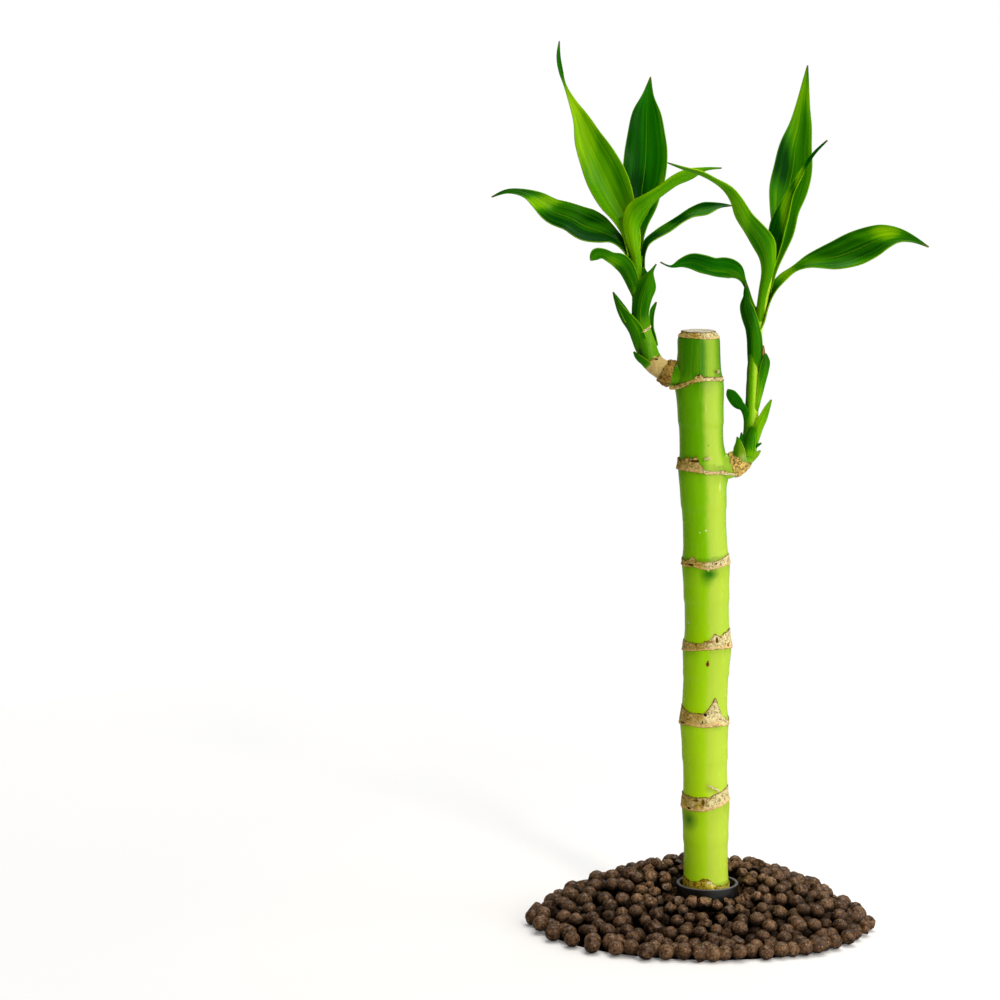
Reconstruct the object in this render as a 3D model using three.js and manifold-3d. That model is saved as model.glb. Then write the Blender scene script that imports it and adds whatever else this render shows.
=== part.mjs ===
// Lucky bamboo: one cane with two leafy shoots, standing in a small black cup
// in a heap of round clay pellets. Millimetres, +Z up, +X to the right.
// The origin is on the table, under the middle of the cup. The front is at -Y.

import * as THREE from 'three';
import { mergeVertices } from 'three/addons/utils/BufferGeometryUtils.js';
import Module from 'manifold-3d';

const wasm = await Module();
wasm.setup();

// ---------------------------------------------------------------- driving sizes

const GAP = 0.3; // clearance between pieces that touch

const CANE_TOP = 267.6;
const CANE_FOOT = 2.4;
const CANE_RADIUS = 9.9; // in the middle of an internode
const CANE_SIDES = 22;
// Where the middle of the cane lies to the right: height, x.
const CANE_LEAN = [
  [0, -0.4], [60, -1.2], [97, -2.2], [131, -1.1], [168, -2.2], [210, -4], [247, -5.4], [268, -6.4],
];
// Swelling round a node: height from the node, extra radius.
const NODE_SWELLING = [[-12, 0.4], [-4, 0.95], [0, 0.5], [4, 0.05], [11, -0.05]];
const NODE_HEIGHTS = [22, 60, 97.6, 131, 168.5, 210, 247];
const FOOT_SWELLING = 0.5; // share of the swelling at the lowest node
const CUT_EDGE = [[264, 9.2], [265.8, 8.7], [CANE_TOP, 7.4]]; // height, radius

const SCAR_THICKNESS = 0.65;
const SCAR_GAP = 0.35;
const SCAR_STEP = 16; // widest angle between two points of a scar's edge

const WAX_RADIUS = 7.2;
const WAX_HEIGHT = 1;

const CUP_HEIGHT = 21;
const CUP_RIM_RADIUS = 13.9;
const CUP_FOOT_RADIUS = 12.9;
const CUP_WALL = 1.5;
const CUP_FLOOR = 2;
const CUP_SIDES = 28;
const CUP_SOIL_TOP = 17.4;

const HEAP_CENTRE = new THREE.Vector2(-3.4, 1.5);
const HEAP_REACH = new THREE.Vector2(75, 54); // to the middle of the outermost pellets
const HEAP_EDGE = 3.6; // height of the middle of the outermost pellets
const HEAP_RISE = 19.2;
const HEAP_BACK_RISE = 0.82; // the heap is higher behind the cup
const HEAP_RIGHT_RISE = 0.12; // and a little higher at the right
const HEAP_DIP = 3; // and lower close to the cup
const HEAP_DIP_WIDTH = 8;
const HEAP_RAGGED = 0.05; // how uneven its outline is, as a share of its reach
const HEAP_WANDER = 2.6; // how far the rows of pellets bend
const PELLET_RADIUS = 3.8;
const PELLET_SPACING = 7.5;
const PELLET_JITTER = 1.8;
const PELLET_LIFT = 1.2;
const RING_SHARE = 0.8; // radius of a pellet's ring, as a share of its own
const GAP_DEPTH = 0.4; // from the middle of a pellet down into the gaps
const GAP_FLOOR = 0.5; // least height of a gap
const WAIST_HEIGHT = 3;
const WAIST_SPREAD = 0.75; // how far the outermost pellets spread at their waist
const FOOT_SPREAD = 0.3; // and at the table
const BEND_ACROSS = 16; // how quickly the rows of pellets bend, across and along them
const BEND_ALONG = 14;

const LEAF_THICKNESS = 0.7;
const ACROSS = [1, 0.5, 0, -0.5, -1]; // points across a leaf, as shares of its half width

// ---------------------------------------------------------------- colours

function finish(colour, roughness) {
  return { color: colour, roughness, metalness: 0 };
}

const FINISH = {
  cane: finish(0x6f9a2c, 0.45),
  shoot: finish(0x86a83a, 0.5),
  lightLeaf: finish(0x8fb44a, 0.4),
  leaf: finish(0x5f9436, 0.4),
  darkLeaf: finish(0x3f7430, 0.4),
  scar: finish(0xb79a63, 0.8),
  bark: finish(0x7d6440, 0.9),
  wax: finish(0xc9cabb, 0.6),
  cup: finish(0x17171a, 0.35),
  soil: finish(0x2a1f18, 0.95),
  pellets: finish(0x4a332a, 0.8),
};

// ---------------------------------------------------------------- solids

// A seeded draw, from 0 to 1.
function seededDraw(seed) {
  let state = seed;
  return () => {
    state = (state * 1664525 + 1013904223) % 4294967296;
    return state / 4294967296;
  };
}

// Value of a list of [key, value, ...] rows at a key between them.
function between(rows, key, column = 1) {
  if (key <= rows[0][0]) return rows[0][column];
  for (let i = 1; i < rows.length; i += 1) {
    const [low, high] = [rows[i - 1], rows[i]];
    if (key <= high[0]) {
      const share = (key - low[0]) / (high[0] - low[0]);
      return low[column] + (high[column] - low[column]) * share;
    }
  }
  return rows[rows.length - 1][column];
}

function signedVolume(corners, triangles) {
  let six = 0;
  for (let i = 0; i < triangles.length; i += 3) {
    const [a, b, c] = [corners[triangles[i]], corners[triangles[i + 1]], corners[triangles[i + 2]]];
    six += a.dot(b.clone().cross(c));
  }
  return six / 6;
}

function solidOf(corners, triangles) {
  const faces = triangles.slice();
  if (signedVolume(corners, triangles) < 0) faces.reverse();
  const vertProperties = new Float32Array(corners.flatMap((corner) => corner.toArray()));
  const triVerts = new Uint32Array(faces);
  return new wasm.Manifold(new wasm.Mesh({ numProp: 3, vertProperties, triVerts }));
}

function solidFromGeometry(geometry) {
  geometry.deleteAttribute('normal');
  geometry.deleteAttribute('uv');
  const merged = mergeVertices(geometry, 1e-4);
  const place = merged.attributes.position;
  const corners = [];
  for (let i = 0; i < place.count; i += 1) {
    corners.push(new THREE.Vector3().fromBufferAttribute(place, i));
  }
  const faces = [];
  for (let i = 0; i < merged.index.count; i += 3) {
    const [a, b, c] = [0, 1, 2].map((k) => merged.index.getX(i + k));
    if (a !== b && b !== c && c !== a) faces.push(a, b, c);
  }
  return solidOf(corners, faces);
}

// A solid through loops of points. The second half of each loop lies under the
// first half, and is split the same way. A ring joins its last loop to its first.
function loft(loops, ring = false) {
  const count = loops[0].length;
  const half = count / 2;
  const at = (loop, side) => (loop % loops.length) * count + (side % count);
  const faces = [];
  const spans = ring ? loops.length : loops.length - 1;
  for (let loop = 0; loop < spans; loop += 1) {
    for (let side = 0; side < count; side += 1) {
      const [a, b] = [at(loop, side), at(loop, side + 1)];
      const [d, c] = [at(loop + 1, side), at(loop + 1, side + 1)];
      if (side < half) faces.push(a, b, c, a, c, d);
      else faces.push(a, b, d, b, c, d);
    }
  }
  if (!ring) {
    const last = loops.length - 1;
    for (let side = 0; side < half - 1; side += 1) {
      const [far, next] = [count - 1 - side, count - 2 - side];
      faces.push(at(0, side + 1), at(0, side), at(0, far), at(0, side + 1), at(0, far), at(0, next));
      faces.push(at(last, side), at(last, side + 1), at(last, next));
      faces.push(at(last, side), at(last, next), at(last, far));
    }
  }
  return solidOf(loops.flat(), faces);
}

function lathe(profile, sides) {
  const points = profile.map(([radius, height]) => new THREE.Vector2(radius, height));
  const geometry = new THREE.LatheGeometry(points, sides);
  geometry.rotateX(Math.PI / 2);
  return solidFromGeometry(geometry);
}

function largestPiece(solid) {
  return solid.decompose().sort((a, b) => b.volume() - a.volume())[0];
}

function carve(solid, cutters) {
  return largestPiece(cutters.reduce((rest, cutter) => rest.subtract(cutter), solid));
}

const plant = new THREE.Group();

function addPiece(name, solid, look) {
  const mesh = solid.getMesh();
  const corners = new Float32Array(mesh.vertProperties.length);
  for (let i = 0; i < corners.length; i += 1) corners[i] = mesh.vertProperties[i];
  const geometry = new THREE.BufferGeometry();
  geometry.setAttribute('position', new THREE.BufferAttribute(corners, 3));
  geometry.setIndex(new THREE.BufferAttribute(Uint32Array.from(mesh.triVerts), 1));
  const piece = new THREE.Mesh(geometry, new THREE.MeshStandardMaterial(look));
  piece.name = name;
  plant.add(piece);
}

// ---------------------------------------------------------------- cane

// Where each shoot leaves the cane: height, angle from the front, how far the cane bulges.
const SHOOT_BULGES = [
  { height: 249, angle: -90, bulge: 2.2 },
  { height: 209, angle: 90, bulge: 1.6 },
];
const BULGE_WIDTH = 6;

function nodeSwelling(height) {
  let extra = 0;
  NODE_HEIGHTS.forEach((node, index) => {
    const from = height - node;
    if (from < NODE_SWELLING[0][0] - 8 || from > NODE_SWELLING.at(-1)[0] + 6) return;
    extra = between(NODE_SWELLING, from) * (index === 0 ? FOOT_SWELLING : 1);
  });
  return extra;
}

// Angles run from the front (-Y) towards the right (+X), in degrees.
function caneRadius(height, angle) {
  if (height > CUT_EDGE[0][0]) return between(CUT_EDGE, height);
  let radius = CANE_RADIUS + nodeSwelling(height);
  for (const { height: middle, angle: side, bulge } of SHOOT_BULGES) {
    const facing = Math.max(0, Math.cos(THREE.MathUtils.degToRad(angle - side)));
    radius += bulge * facing ** 3 * Math.exp(-(((height - middle) / BULGE_WIDTH) ** 2));
  }
  return radius;
}

function canePoint(height, angle, extra = 0) {
  const turn = THREE.MathUtils.degToRad(angle);
  const radius = caneRadius(height, angle) + extra;
  const x = between(CANE_LEAN, height) + radius * Math.sin(turn);
  return new THREE.Vector3(x, -radius * Math.cos(turn), height);
}

function caneSolid(extra = 0) {
  const heights = [CANE_FOOT - extra];
  for (const node of NODE_HEIGHTS) {
    heights.push(...NODE_SWELLING.map(([from]) => node + from));
  }
  heights.push(...CUT_EDGE.map(([height]) => height));
  heights[heights.length - 1] += extra;
  const loops = heights.map((height) => {
    const loop = [];
    for (let side = 0; side < CANE_SIDES; side += 1) {
      loop.push(canePoint(height, (360 * side) / CANE_SIDES, extra));
    }
    return loop;
  });
  return loft(loops);
}

const cane = caneSolid();
const roomForCane = caneSolid(GAP);
addPiece('cane', cane, FINISH.cane);

const waxProfile = [
  [0, 0],
  [WAX_RADIUS - 0.3, 0],
  [WAX_RADIUS, 0.4],
  [WAX_RADIUS - 0.5, WAX_HEIGHT - 0.1],
  [0, WAX_HEIGHT],
];
const waxSeat = [between(CANE_LEAN, CANE_TOP), 0, CANE_TOP + GAP];
addPiece('wax_seal', lathe(waxProfile, 20).translate(waxSeat), FINISH.wax);

// ---------------------------------------------------------------- sheath scars

// Torn edges of the old leaf sheaths: angle from the front, bottom height, top height.
const SCARS = {
  scar_top: [
    [-90, 265.3, 267.9], [-30, 265.5, 268], [0, 265, 267.8], [30, 265.4, 268], [90, 265.2, 267.9],
    [180, 265.5, 268],
  ],
  scar_1: [
    [-80, 242.6, 244.4], [-40, 244.3, 246.4], [-8, 246.7, 249.4], [0, 247.2, 250.6],
    [12, 247.3, 249.4], [45, 247, 249], [90, 246.6, 248.6], [180, 245.4, 247.4],
    [235, 243.4, 245.4],
  ],
  scar_2: [
    [-80, 207.6, 212.5], [-50, 207.8, 213], [-25, 207.4, 213], [-5, 206.9, 209], [20, 206.6, 208.4],
    [70, 206.2, 208], [120, 206.4, 209], [180, 207, 210.5], [235, 207.4, 212],
  ],
  scar_3: [
    [-78, 165.2, 168.3], [-55, 164.8, 167.6], [-32, 165.6, 169.7], [-18, 165, 168], [5, 164.4, 168],
    [30, 165, 168.4], [50, 165.2, 169.3], [75, 165.8, 170], [130, 166, 169], [180, 165.5, 168.5],
    [230, 165, 168],
  ],
  scar_4: [
    [-80, 126.8, 131.5], [-45, 127.6, 132], [-8, 128.6, 132.4], [8, 128.8, 133.8], [22, 129, 136],
    [50, 128.6, 136.3], [80, 128, 136.5], [130, 128, 134], [180, 128, 132.5], [235, 127.2, 131.5],
  ],
  scar_5: [
    [-78, 93.6, 101], [-40, 94.3, 102], [-18, 94, 100.8], [0, 93.7, 100.3], [14, 93.9, 103],
    [28, 94, 106.6], [36, 94, 102.5], [50, 94, 98.6], [75, 93.7, 96], [120, 93.6, 98],
    [180, 94, 99.5], [235, 93.8, 101],
  ],
  scar_6: [
    [-78, 55.8, 62.2], [-45, 55.8, 62.8], [-18, 56, 63.3], [8, 56.2, 63.4], [30, 57.4, 64.8],
    [60, 58.4, 65], [88, 59.4, 65], [130, 58.6, 64], [180, 57, 63], [235, 56, 62.5],
  ],
  scar_7: [
    [-78, 18.5, 23.4], [-45, 18.2, 22.4], [-15, 18.5, 22.6], [0, 19, 26.6], [12, 18.6, 23.6],
    [40, 18.2, 21.8], [85, 18.2, 21.4], [140, 18.2, 22.5], [200, 18.2, 24], [250, 18.4, 23],
  ],
};

function scarSolid(edge) {
  const rows = [];
  edge.forEach((row, index) => {
    const next = index + 1 < edge.length ? edge[index + 1] : [edge[0][0] + 360, edge[0][1], edge[0][2]];
    const steps = Math.ceil((next[0] - row[0]) / SCAR_STEP);
    for (let step = 0; step < steps; step += 1) {
      rows.push(row.map((value, column) => value + ((next[column] - value) * step) / steps));
    }
  });
  const loops = rows.map(([angle, bottom, top]) => [
    canePoint(bottom, angle, SCAR_GAP),
    canePoint(bottom, angle, SCAR_GAP + SCAR_THICKNESS),
    canePoint(top, angle, SCAR_GAP + SCAR_THICKNESS),
    canePoint(top, angle, SCAR_GAP),
  ]);
  return loft(loops, true);
}

// ---------------------------------------------------------------- shoot stems

const STEM_SIDES = 12;

// Middle line and radius of each stem: x, y, z, radius.
const STEMS = {
  left: [[-13, 0, 248], [-18, 0, 249.3], [-22.5, 0, 251.4], [-26.5, 0, 255], [-29, 0, 262], [-31, 0, 270.5],
    [-32, 0, 279], [-33, 0, 288], [-34.3, 0, 298], [-35, 0, 306]],
  right: [[4, 0, 208.6], [9, 0, 209.3], [13, 0, 211.8], [15.5, 0, 216], [16.5, 0, 222], [17.2, 0, 232],
    [17.5, 0, 242.5], [17.8, 0, 253.5], [18.6, 0, 263], [19.6, 0, 272], [21.3, 0, 280], [23, 0, 288],
    [24.2, 0, 294]],
};
const STEM_RADII = {
  left: [5, 4.9, 4.6, 4.4, 4.2, 3.5, 3.1, 2.7, 2.3, 1.8],
  right: [5.3, 5.2, 4.8, 4.1, 3.3, 3.1, 2.9, 2.7, 2.5, 2.3, 2.1, 1.9, 1.6],
};

function stemCurve(side) {
  return new THREE.CatmullRomCurve3(STEMS[side].map((point) => new THREE.Vector3(...point)));
}

function stemPoint(side, share, angle, extra) {
  const curve = stemCurve(side);
  const last = STEM_RADII[side].length - 1;
  const radii = STEM_RADII[side].map((radius, index) => [index / last, radius]);
  const across = new THREE.Vector3(0, 1, 0);
  const up = curve.getTangent(share).cross(across);
  const radius = between(radii, share) + extra;
  const turn = THREE.MathUtils.degToRad(angle);
  const point = curve.getPoint(share);
  return point.addScaledVector(across, radius * Math.cos(turn)).addScaledVector(up, radius * Math.sin(turn));
}

function stemSolid(side, extra = 0) {
  const spans = STEMS[side].length - 1;
  const loops = [];
  for (let span = 0; span <= spans; span += 1) {
    const loop = [];
    for (let k = 0; k < STEM_SIDES; k += 1) {
      loop.push(stemPoint(side, span / spans, (360 * k) / STEM_SIDES, extra));
    }
    loops.push(loop);
  }
  if (extra > 0) {
    const top = stemCurve(side).getTangent(1).multiplyScalar(extra);
    loops.push(loops.at(-1).map((point) => point.clone().add(top)));
  }
  return loft(loops);
}

// Rough bark round the foot of a shoot: from and to are shares of the stem's line.
const BARKS = {
  left: { from: 0.1, to: 0.235, ragged: 0.02, seed: 11 },
  right: { from: 0.08, to: 0.19, ragged: 0.016, seed: 23 },
};
const BARK_STEPS = 14;
const BARK_THICKNESS = 1.1; // from the stem to the bark's outer side
const BARK_ROUGHNESS = 0.7;
const BARK_LENGTH_SCALE = 40; // about the length of a stem's line up to its bend

function barkSolid(side, extra = 0) {
  const { from, to, ragged, seed } = BARKS[side];
  const draw = seededDraw(seed);
  const loops = [];
  for (let step = 0; step < BARK_STEPS; step += 1) {
    const angle = (360 * step) / BARK_STEPS;
    const end = to + ragged * (2 * draw() - 1);
    const middle = (from + end) / 2;
    const crest = BARK_THICKNESS + BARK_ROUGHNESS * draw();
    const far = end + extra / BARK_LENGTH_SCALE;
    loops.push([
      stemPoint(side, from, angle, 0),
      stemPoint(side, from, angle, BARK_THICKNESS + extra),
      stemPoint(side, middle, angle, SCAR_GAP + crest + extra),
      stemPoint(side, far, angle, BARK_THICKNESS + extra),
      stemPoint(side, far, angle, 0),
      stemPoint(side, middle, angle, 0),
    ]);
  }
  return loft(loops, true);
}

const roomForStem = { left: stemSolid('left', GAP), right: stemSolid('right', GAP) };
const roomForBark = { left: barkSolid('left', GAP), right: barkSolid('right', GAP) };
const roomForShoots = [roomForStem.left, roomForStem.right, roomForBark.left, roomForBark.right];
for (const side of ['left', 'right']) {
  addPiece(`${side}_stem`, carve(stemSolid(side), [roomForCane]), FINISH.shoot);
  addPiece(`${side}_bark`, carve(barkSolid(side), [roomForCane, roomForStem[side]]), FINISH.bark);
}
for (const [name, edge] of Object.entries(SCARS)) {
  addPiece(name, carve(scarSolid(edge), roomForShoots), FINISH.scar);
}

// ---------------------------------------------------------------- leaves

// Each leaf is a cupped strip along its midrib. A row of the spine is x, y, z, half width and
// cupping, which is the angle in degrees that half the leaf curls through. The two faces are
// the directions that the leaf's inner side looks in, at its root and at its tip.
const LEAVES = [
  // left shoot, from the top down
  { name: 'left_leaf_upright_front', look: 'lightLeaf', faces: [[0.2, -1, 0], [0.15, -1, 0.1]], spans: 12,
    spine: [[-35, 0.5, 300.5, 3.3, 65], [-36, 1.5, 309.5, 4.5, 50], [-39, 3, 317.5, 6.1, 40],
      [-43, 5, 325, 8.6, 35], [-47, 7, 333.5, 9.4, 30], [-51, 9, 342, 8.3, 25], [-55, 10, 350, 6.6, 25],
      [-58, 11, 358.5, 4, 20], [-62, 11, 366.5, 1.8, 20], [-65.5, 11, 375, 0.8, 15],
      [-68, 11, 384, 0.7, 15], [-68.5, 11, 393, 0.4, 10]] },
  { name: 'left_leaf_upright_back', look: 'darkLeaf', faces: [[0, -1, 0], [0, -0.95, 0.25]], spans: 11,
    spine: [[-32.5, 2.5, 297.5, 2.2, 65], [-32.5, 4, 305.5, 1.8, 50], [-32.5, 5.5, 313.5, 4, 40],
      [-32, 7.5, 321, 7.3, 35], [-31.5, 10, 329, 9.2, 30], [-30.5, 12, 337, 9.7, 20],
      [-30, 14.5, 345.5, 9.5, 20], [-30, 16.5, 353.5, 8.2, 20], [-30, 19, 362, 6.3, 15],
      [-29.5, 21, 369.5, 2.6, 15], [-28.5, 23.5, 377.5, 0.4, 10]] },
  { name: 'left_leaf_arching_right', look: 'lightLeaf', faces: [[0, 1, 0], [-0.4, 0.6, 0.9]], spans: 12,
    spine: [[-33, -3, 286, 2.5, 70], [-33, -3, 293, 2.5, 65], [-33.5, -3, 300, 2.5, 65],
      [-35, -3.5, 307, 3.1, 55], [-35.5, -4, 314, 4.4, 50], [-33, -5, 320, 5.4, 40],
      [-28, -6.5, 325, 3.7, 40], [-22, -7.5, 329.5, 3, 35], [-16.5, -8.5, 333.5, 3.3, 30],
      [-10, -8, 336, 3.7, 25], [-4, -7.5, 338.5, 1.3, 15], [3, -7, 339, 0.4, 10]] },
  { name: 'left_leaf_arching_back', look: 'leaf', faces: [[-0.7, -0.7, 0], [-0.2, -0.7, 0.8]], spans: 11,
    spine: [[-30.5, 1.5, 289, 2.5, 60], [-30.5, 2, 295, 1.7, 55], [-30.5, 2, 300.5, 1.5, 50],
      [-29, 2, 306, 2.2, 45], [-24.5, 4, 309.5, 2.4, 40], [-19.5, 5.5, 312.5, 2.8, 30],
      [-14.5, 7, 316, 2.6, 25], [-9.5, 8, 319, 2.9, 20], [-3.5, 9, 320.5, 3.7, 20], [2, 10, 322, 1.7, 15],
      [7.5, 11, 322, 0.4, 10]] },
  { name: 'left_leaf_arching_left', look: 'leaf', faces: [[0.7, -0.7, 0.2], [0.2, -0.9, 0.4]], spans: 12,
    spine: [[-33, 0.5, 290, 2.2, 60], [-35, 0.5, 297, 2.3, 50], [-38.5, 1, 303.5, 2.3, 40],
      [-43.5, 1, 308.5, 3.6, 35], [-49.5, 1.5, 311, 6.9, 30], [-56.5, 2, 313.5, 8.4, 25],
      [-63, 2.5, 317, 7, 25], [-70.5, 3, 319.5, 6.1, 25], [-76.5, 2.5, 324, 4.3, 20],
      [-82.5, 1.5, 327.5, 2, 15], [-90, 0, 328.5, 1, 15], [-96.5, -2, 326, 0.4, 10]] },
  { name: 'left_leaf_front_sheath', look: 'leaf', faces: [[0, 1, 0], [-0.1, 1, 0.1]], spans: 9,
    spine: [[-30.4, -3.6, 268.2, 4.5, 75], [-31.2, -4, 272, 4.6, 70], [-31.6, -4.4, 276, 4.7, 70],
      [-31.2, -4.8, 280, 4.7, 60], [-30.4, -5.2, 283.8, 4.9, 55], [-29, -5.6, 287.6, 4.9, 50],
      [-28, -5.8, 291.2, 3, 40], [-26.8, -6, 294.4, 0.9, 35], [-24.8, -6, 297.6, 0.4, 10]] },
  { name: 'left_leaf_curled', look: 'leaf', faces: [[0.3, 0.95, 0], [-0.2, 0.8, 0.6]], spans: 10,
    spine: [[-34, -3.6, 285, 2.9, 55], [-34.8, -4.2, 288, 3.2, 45],
      [-36.2, -4.8, 291.8, 3.5, 40], [-38, -5.6, 295.6, 4, 35], [-40.8, -6.2, 298.4, 4.1, 35],
      [-44.2, -6.8, 300, 2.8, 30], [-47.6, -7.6, 301.8, 2.6, 30], [-51, -8.4, 301.4, 3.3, 25],
      [-53.2, -9, 299.2, 0.4, 10]] },
  { name: 'left_scale_back', look: 'leaf', faces: [[-0.5, -0.85, 0], [-0.4, -0.9, 0]], spans: 5,
    spine: [[-25.4, 2.6, 261.2, 2.5, 45], [-26, 2.8, 265.2, 1.8, 40], [-26.8, 3, 269, 1.3, 35],
      [-26.8, 3.2, 273, 1.1, 30], [-26.4, 3.4, 276.8, 1.2, 25], [-24.8, 3.6, 280.4, 0.4, 10]] },
  { name: 'left_scale_outer', look: 'leaf', faces: [[0.75, 0.65, 0], [0.7, 0.7, 0.1]], spans: 9,
    spine: [[-31.6, -1.2, 257, 5.6, 75], [-33.2, -1.6, 260.6, 5.9, 70], [-34.4, -2.2, 264.4, 6.2, 65],
      [-35.6, -2.8, 268, 5.8, 60], [-37.2, -2.8, 271.4, 4.7, 50], [-39, -2.4, 274.4, 3.8, 45],
      [-40.8, -2.2, 277.6, 2.5, 35], [-42.2, -2.2, 281.2, 1.4, 30], [-43.4, -2, 284.6, 0.4, 10]] },
  { name: 'left_scale_low', look: 'shoot', faces: [[0.6, 0.7, 0.3], [0.7, 0.6, 0.2]], spans: 3,
    spine: [[-28.4, -3.2, 252.4, 3, 45], [-30.4, -3.2, 254.6, 2.4, 35], [-32.8, -3.2, 256.8, 1.9, 25],
      [-34.4, -3.2, 259.2, 0.4, 10]] },
  // right shoot, from the top down
  { name: 'right_leaf_upright_back', look: 'leaf', faces: [[0, -1, 0], [-0.1, -1, 0.2]], spans: 12,
    spine: [[23.5, 1.5, 285, 1.8, 65], [25.5, 3, 294, 2, 55], [28, 4, 302.5, 3.3, 50],
      [30, 5.5, 311, 5.2, 40], [30.5, 8.5, 320, 6.7, 30], [32, 11, 328.5, 8.6, 25],
      [34, 13.5, 337.5, 8.6, 20], [35, 16, 346.5, 7.4, 20], [37, 18, 355.5, 5.3, 15],
      [38, 20, 364.5, 3.3, 15], [39, 22.5, 373.5, 1.8, 15], [40, 24.5, 382.5, 0.4, 10]] },
  { name: 'right_leaf_folded', look: 'darkLeaf', faces: [[-0.5, -0.85, 0.1], [-0.6, -0.7, 0.2]], spans: 10,
    spine: [[24, -0.5, 294, 2.9, 60], [26, -1, 301, 3.6, 60], [27.5, -2, 308, 4.8, 60],
      [29, -3, 315, 5.1, 60], [31, -3.5, 321.5, 4.1, 60], [33, -4.5, 328, 2.6, 60],
      [36, -5, 334, 1.8, 60], [39, -5.5, 340, 1.2, 50], [43, -6.5, 346, 0.8, 40], [48, -7, 351, 0.4, 10]] },
  { name: 'right_leaf_arching_front', look: 'lightLeaf', faces: [[0, 1, 0], [0.3, 0.3, 1]], spans: 14,
    spine: [[20, -2, 272, 2.1, 70], [20.5, -3, 279.5, 2, 65], [21.5, -4, 286.5, 2.2, 60],
      [23, -5, 293.5, 2.8, 50], [23, -7, 300, 3.9, 45], [21, -9.5, 306.5, 5.6, 35],
      [17, -13, 312.5, 5.2, 30], [12.5, -16.5, 318.5, 4.4, 25], [9.5, -19.5, 325, 3.2, 25],
      [5.5, -21.5, 330.5, 2.6, 20], [-0.5, -23.5, 334.5, 1.8, 20], [-6.5, -25, 337.5, 2.7, 15],
      [-13.5, -26.5, 339.5, 2.3, 15], [-20, -27.5, 342, 0.4, 10]] },
  { name: 'right_leaf_right', look: 'leaf', faces: [[-0.85, -0.4, 0.25], [0.0, -0.9, 0.5]], spans: 14,
    spine: [[22, 0.5, 272, 3.5, 60], [23.5, 0.5, 278.5, 2.9, 60], [26, 0.5, 285, 3.1, 55],
      [30, 0.5, 290.5, 3.3, 55], [35, 0.5, 295, 1.9, 50], [41, 0, 298, 3.5, 40],
      [47.5, -0.5, 299.5, 5.9, 35], [54, -1.5, 301, 8, 30], [60.5, -2, 303.5, 8.8, 25],
      [67, -3, 306.5, 7.9, 20], [73, -3.5, 309, 6.2, 20], [79.5, -4.5, 310, 3.5, 15],
      [86, -6, 308.5, 1.5, 15], [92, -7, 305.5, 0.4, 10]] },
  { name: 'right_leaf_left', look: 'darkLeaf', faces: [[0.6, 0.75, 0.2], [0.1, 0.8, 0.6]], spans: 12,
    spine: [[17.5, -0.5, 276.5, 2, 60], [16, -0.5, 281, 1.4, 55], [14.5, -1, 286, 1.2, 50],
      [12.5, -1.5, 290.5, 1.7, 40], [9.5, -2.5, 293.5, 4.8, 35], [5.5, -3, 295, 5.6, 30],
      [0, -4, 295.5, 5.1, 30], [-4.5, -4.5, 297, 5.3, 25], [-9.5, -5, 298.5, 4.4, 25],
      [-14, -6, 298, 2.3, 20], [-18.5, -6.5, 296.5, 0.5, 15], [-23, -7, 298.5, 0.4, 10]] },
  { name: 'right_leaf_front_sheath', look: 'leaf', faces: [[0.3, 1, 0], [0.2, 1, 0]], spans: 7,
    spine: [[18, -2.2, 254.4, 4.6, 70], [17.8, -2.8, 259.6, 4.3, 65], [17.6, -3.2, 264.6, 4.1, 60],
      [16.8, -3.6, 269.6, 3.7, 55], [15.4, -4, 274.4, 3.8, 50], [14, -4, 279.4, 3.1, 45],
      [14, -4.2, 284, 1, 35], [14, -4.2, 289, 0.4, 10]] },
  { name: 'right_scale_upper_right', look: 'leaf', faces: [[-0.7, 0.7, 0], [-0.4, 0.9, 0]], spans: 7,
    spine: [[19.8, -2.2, 234.6, 1.3, 60], [20.4, -2.2, 238.4, 1.7, 55], [21.2, -2.2, 242.4, 2, 50],
      [21.8, -2.2, 246.4, 2.4, 45], [22.6, -2.4, 250.4, 2.6, 45], [23.2, -2.4, 254.4, 2.5, 40],
      [22.4, -2.4, 258, 0.9, 35], [22.2, -2.4, 262, 0.4, 10]] },
  { name: 'right_leaf_short_left', look: 'darkLeaf', faces: [[0.5, 0.85, 0], [0.1, 0.8, 0.5]], spans: 7,
    spine: [[15.2, -2, 226.6, 2.2, 60], [15, -2.2, 229.6, 2, 55], [14.4, -2.6, 232.4, 1.8, 45],
      [13.2, -2.8, 234.8, 1.9, 40], [11, -3.2, 236.4, 3, 40], [9.2, -3.8, 238.8, 3.1, 40],
      [7.8, -4.4, 241.4, 2.4, 35], [6.6, -5, 243.2, 0.4, 10]] },
  { name: 'right_scale_outer', look: 'leaf', faces: [[-0.5, 0.85, 0], [-0.5, 0.8, 0.2]], spans: 6,
    spine: [[17.6, -2.8, 214, 2.5, 60], [18.4, -2.8, 218.4, 2.6, 55], [19.4, -2.8, 222.4, 2.8, 50],
      [20.8, -3, 226.6, 2.7, 45], [22.4, -3, 230.6, 2.4, 35], [24, -3, 234.8, 1.6, 30],
      [25.6, -3, 238.6, 0.4, 10]] },
  { name: 'right_scale_front', look: 'shoot', faces: [[0.2, 1, 0], [0.1, 1, 0]], spans: 4,
    spine: [[15.2, -4.8, 213.8, 3.4, 60], [15.6, -4.8, 217.4, 3.5, 55], [16, -4.8, 220.8, 3.3, 50],
      [16.8, -4.8, 224.4, 2.2, 40], [17.8, -5, 227.2, 0.4, 10]] },
  { name: 'right_scale_front_left', look: 'scar', faces: [[0.4, 0.8, 0.3], [0.4, 0.9, 0]], spans: 4,
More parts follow.
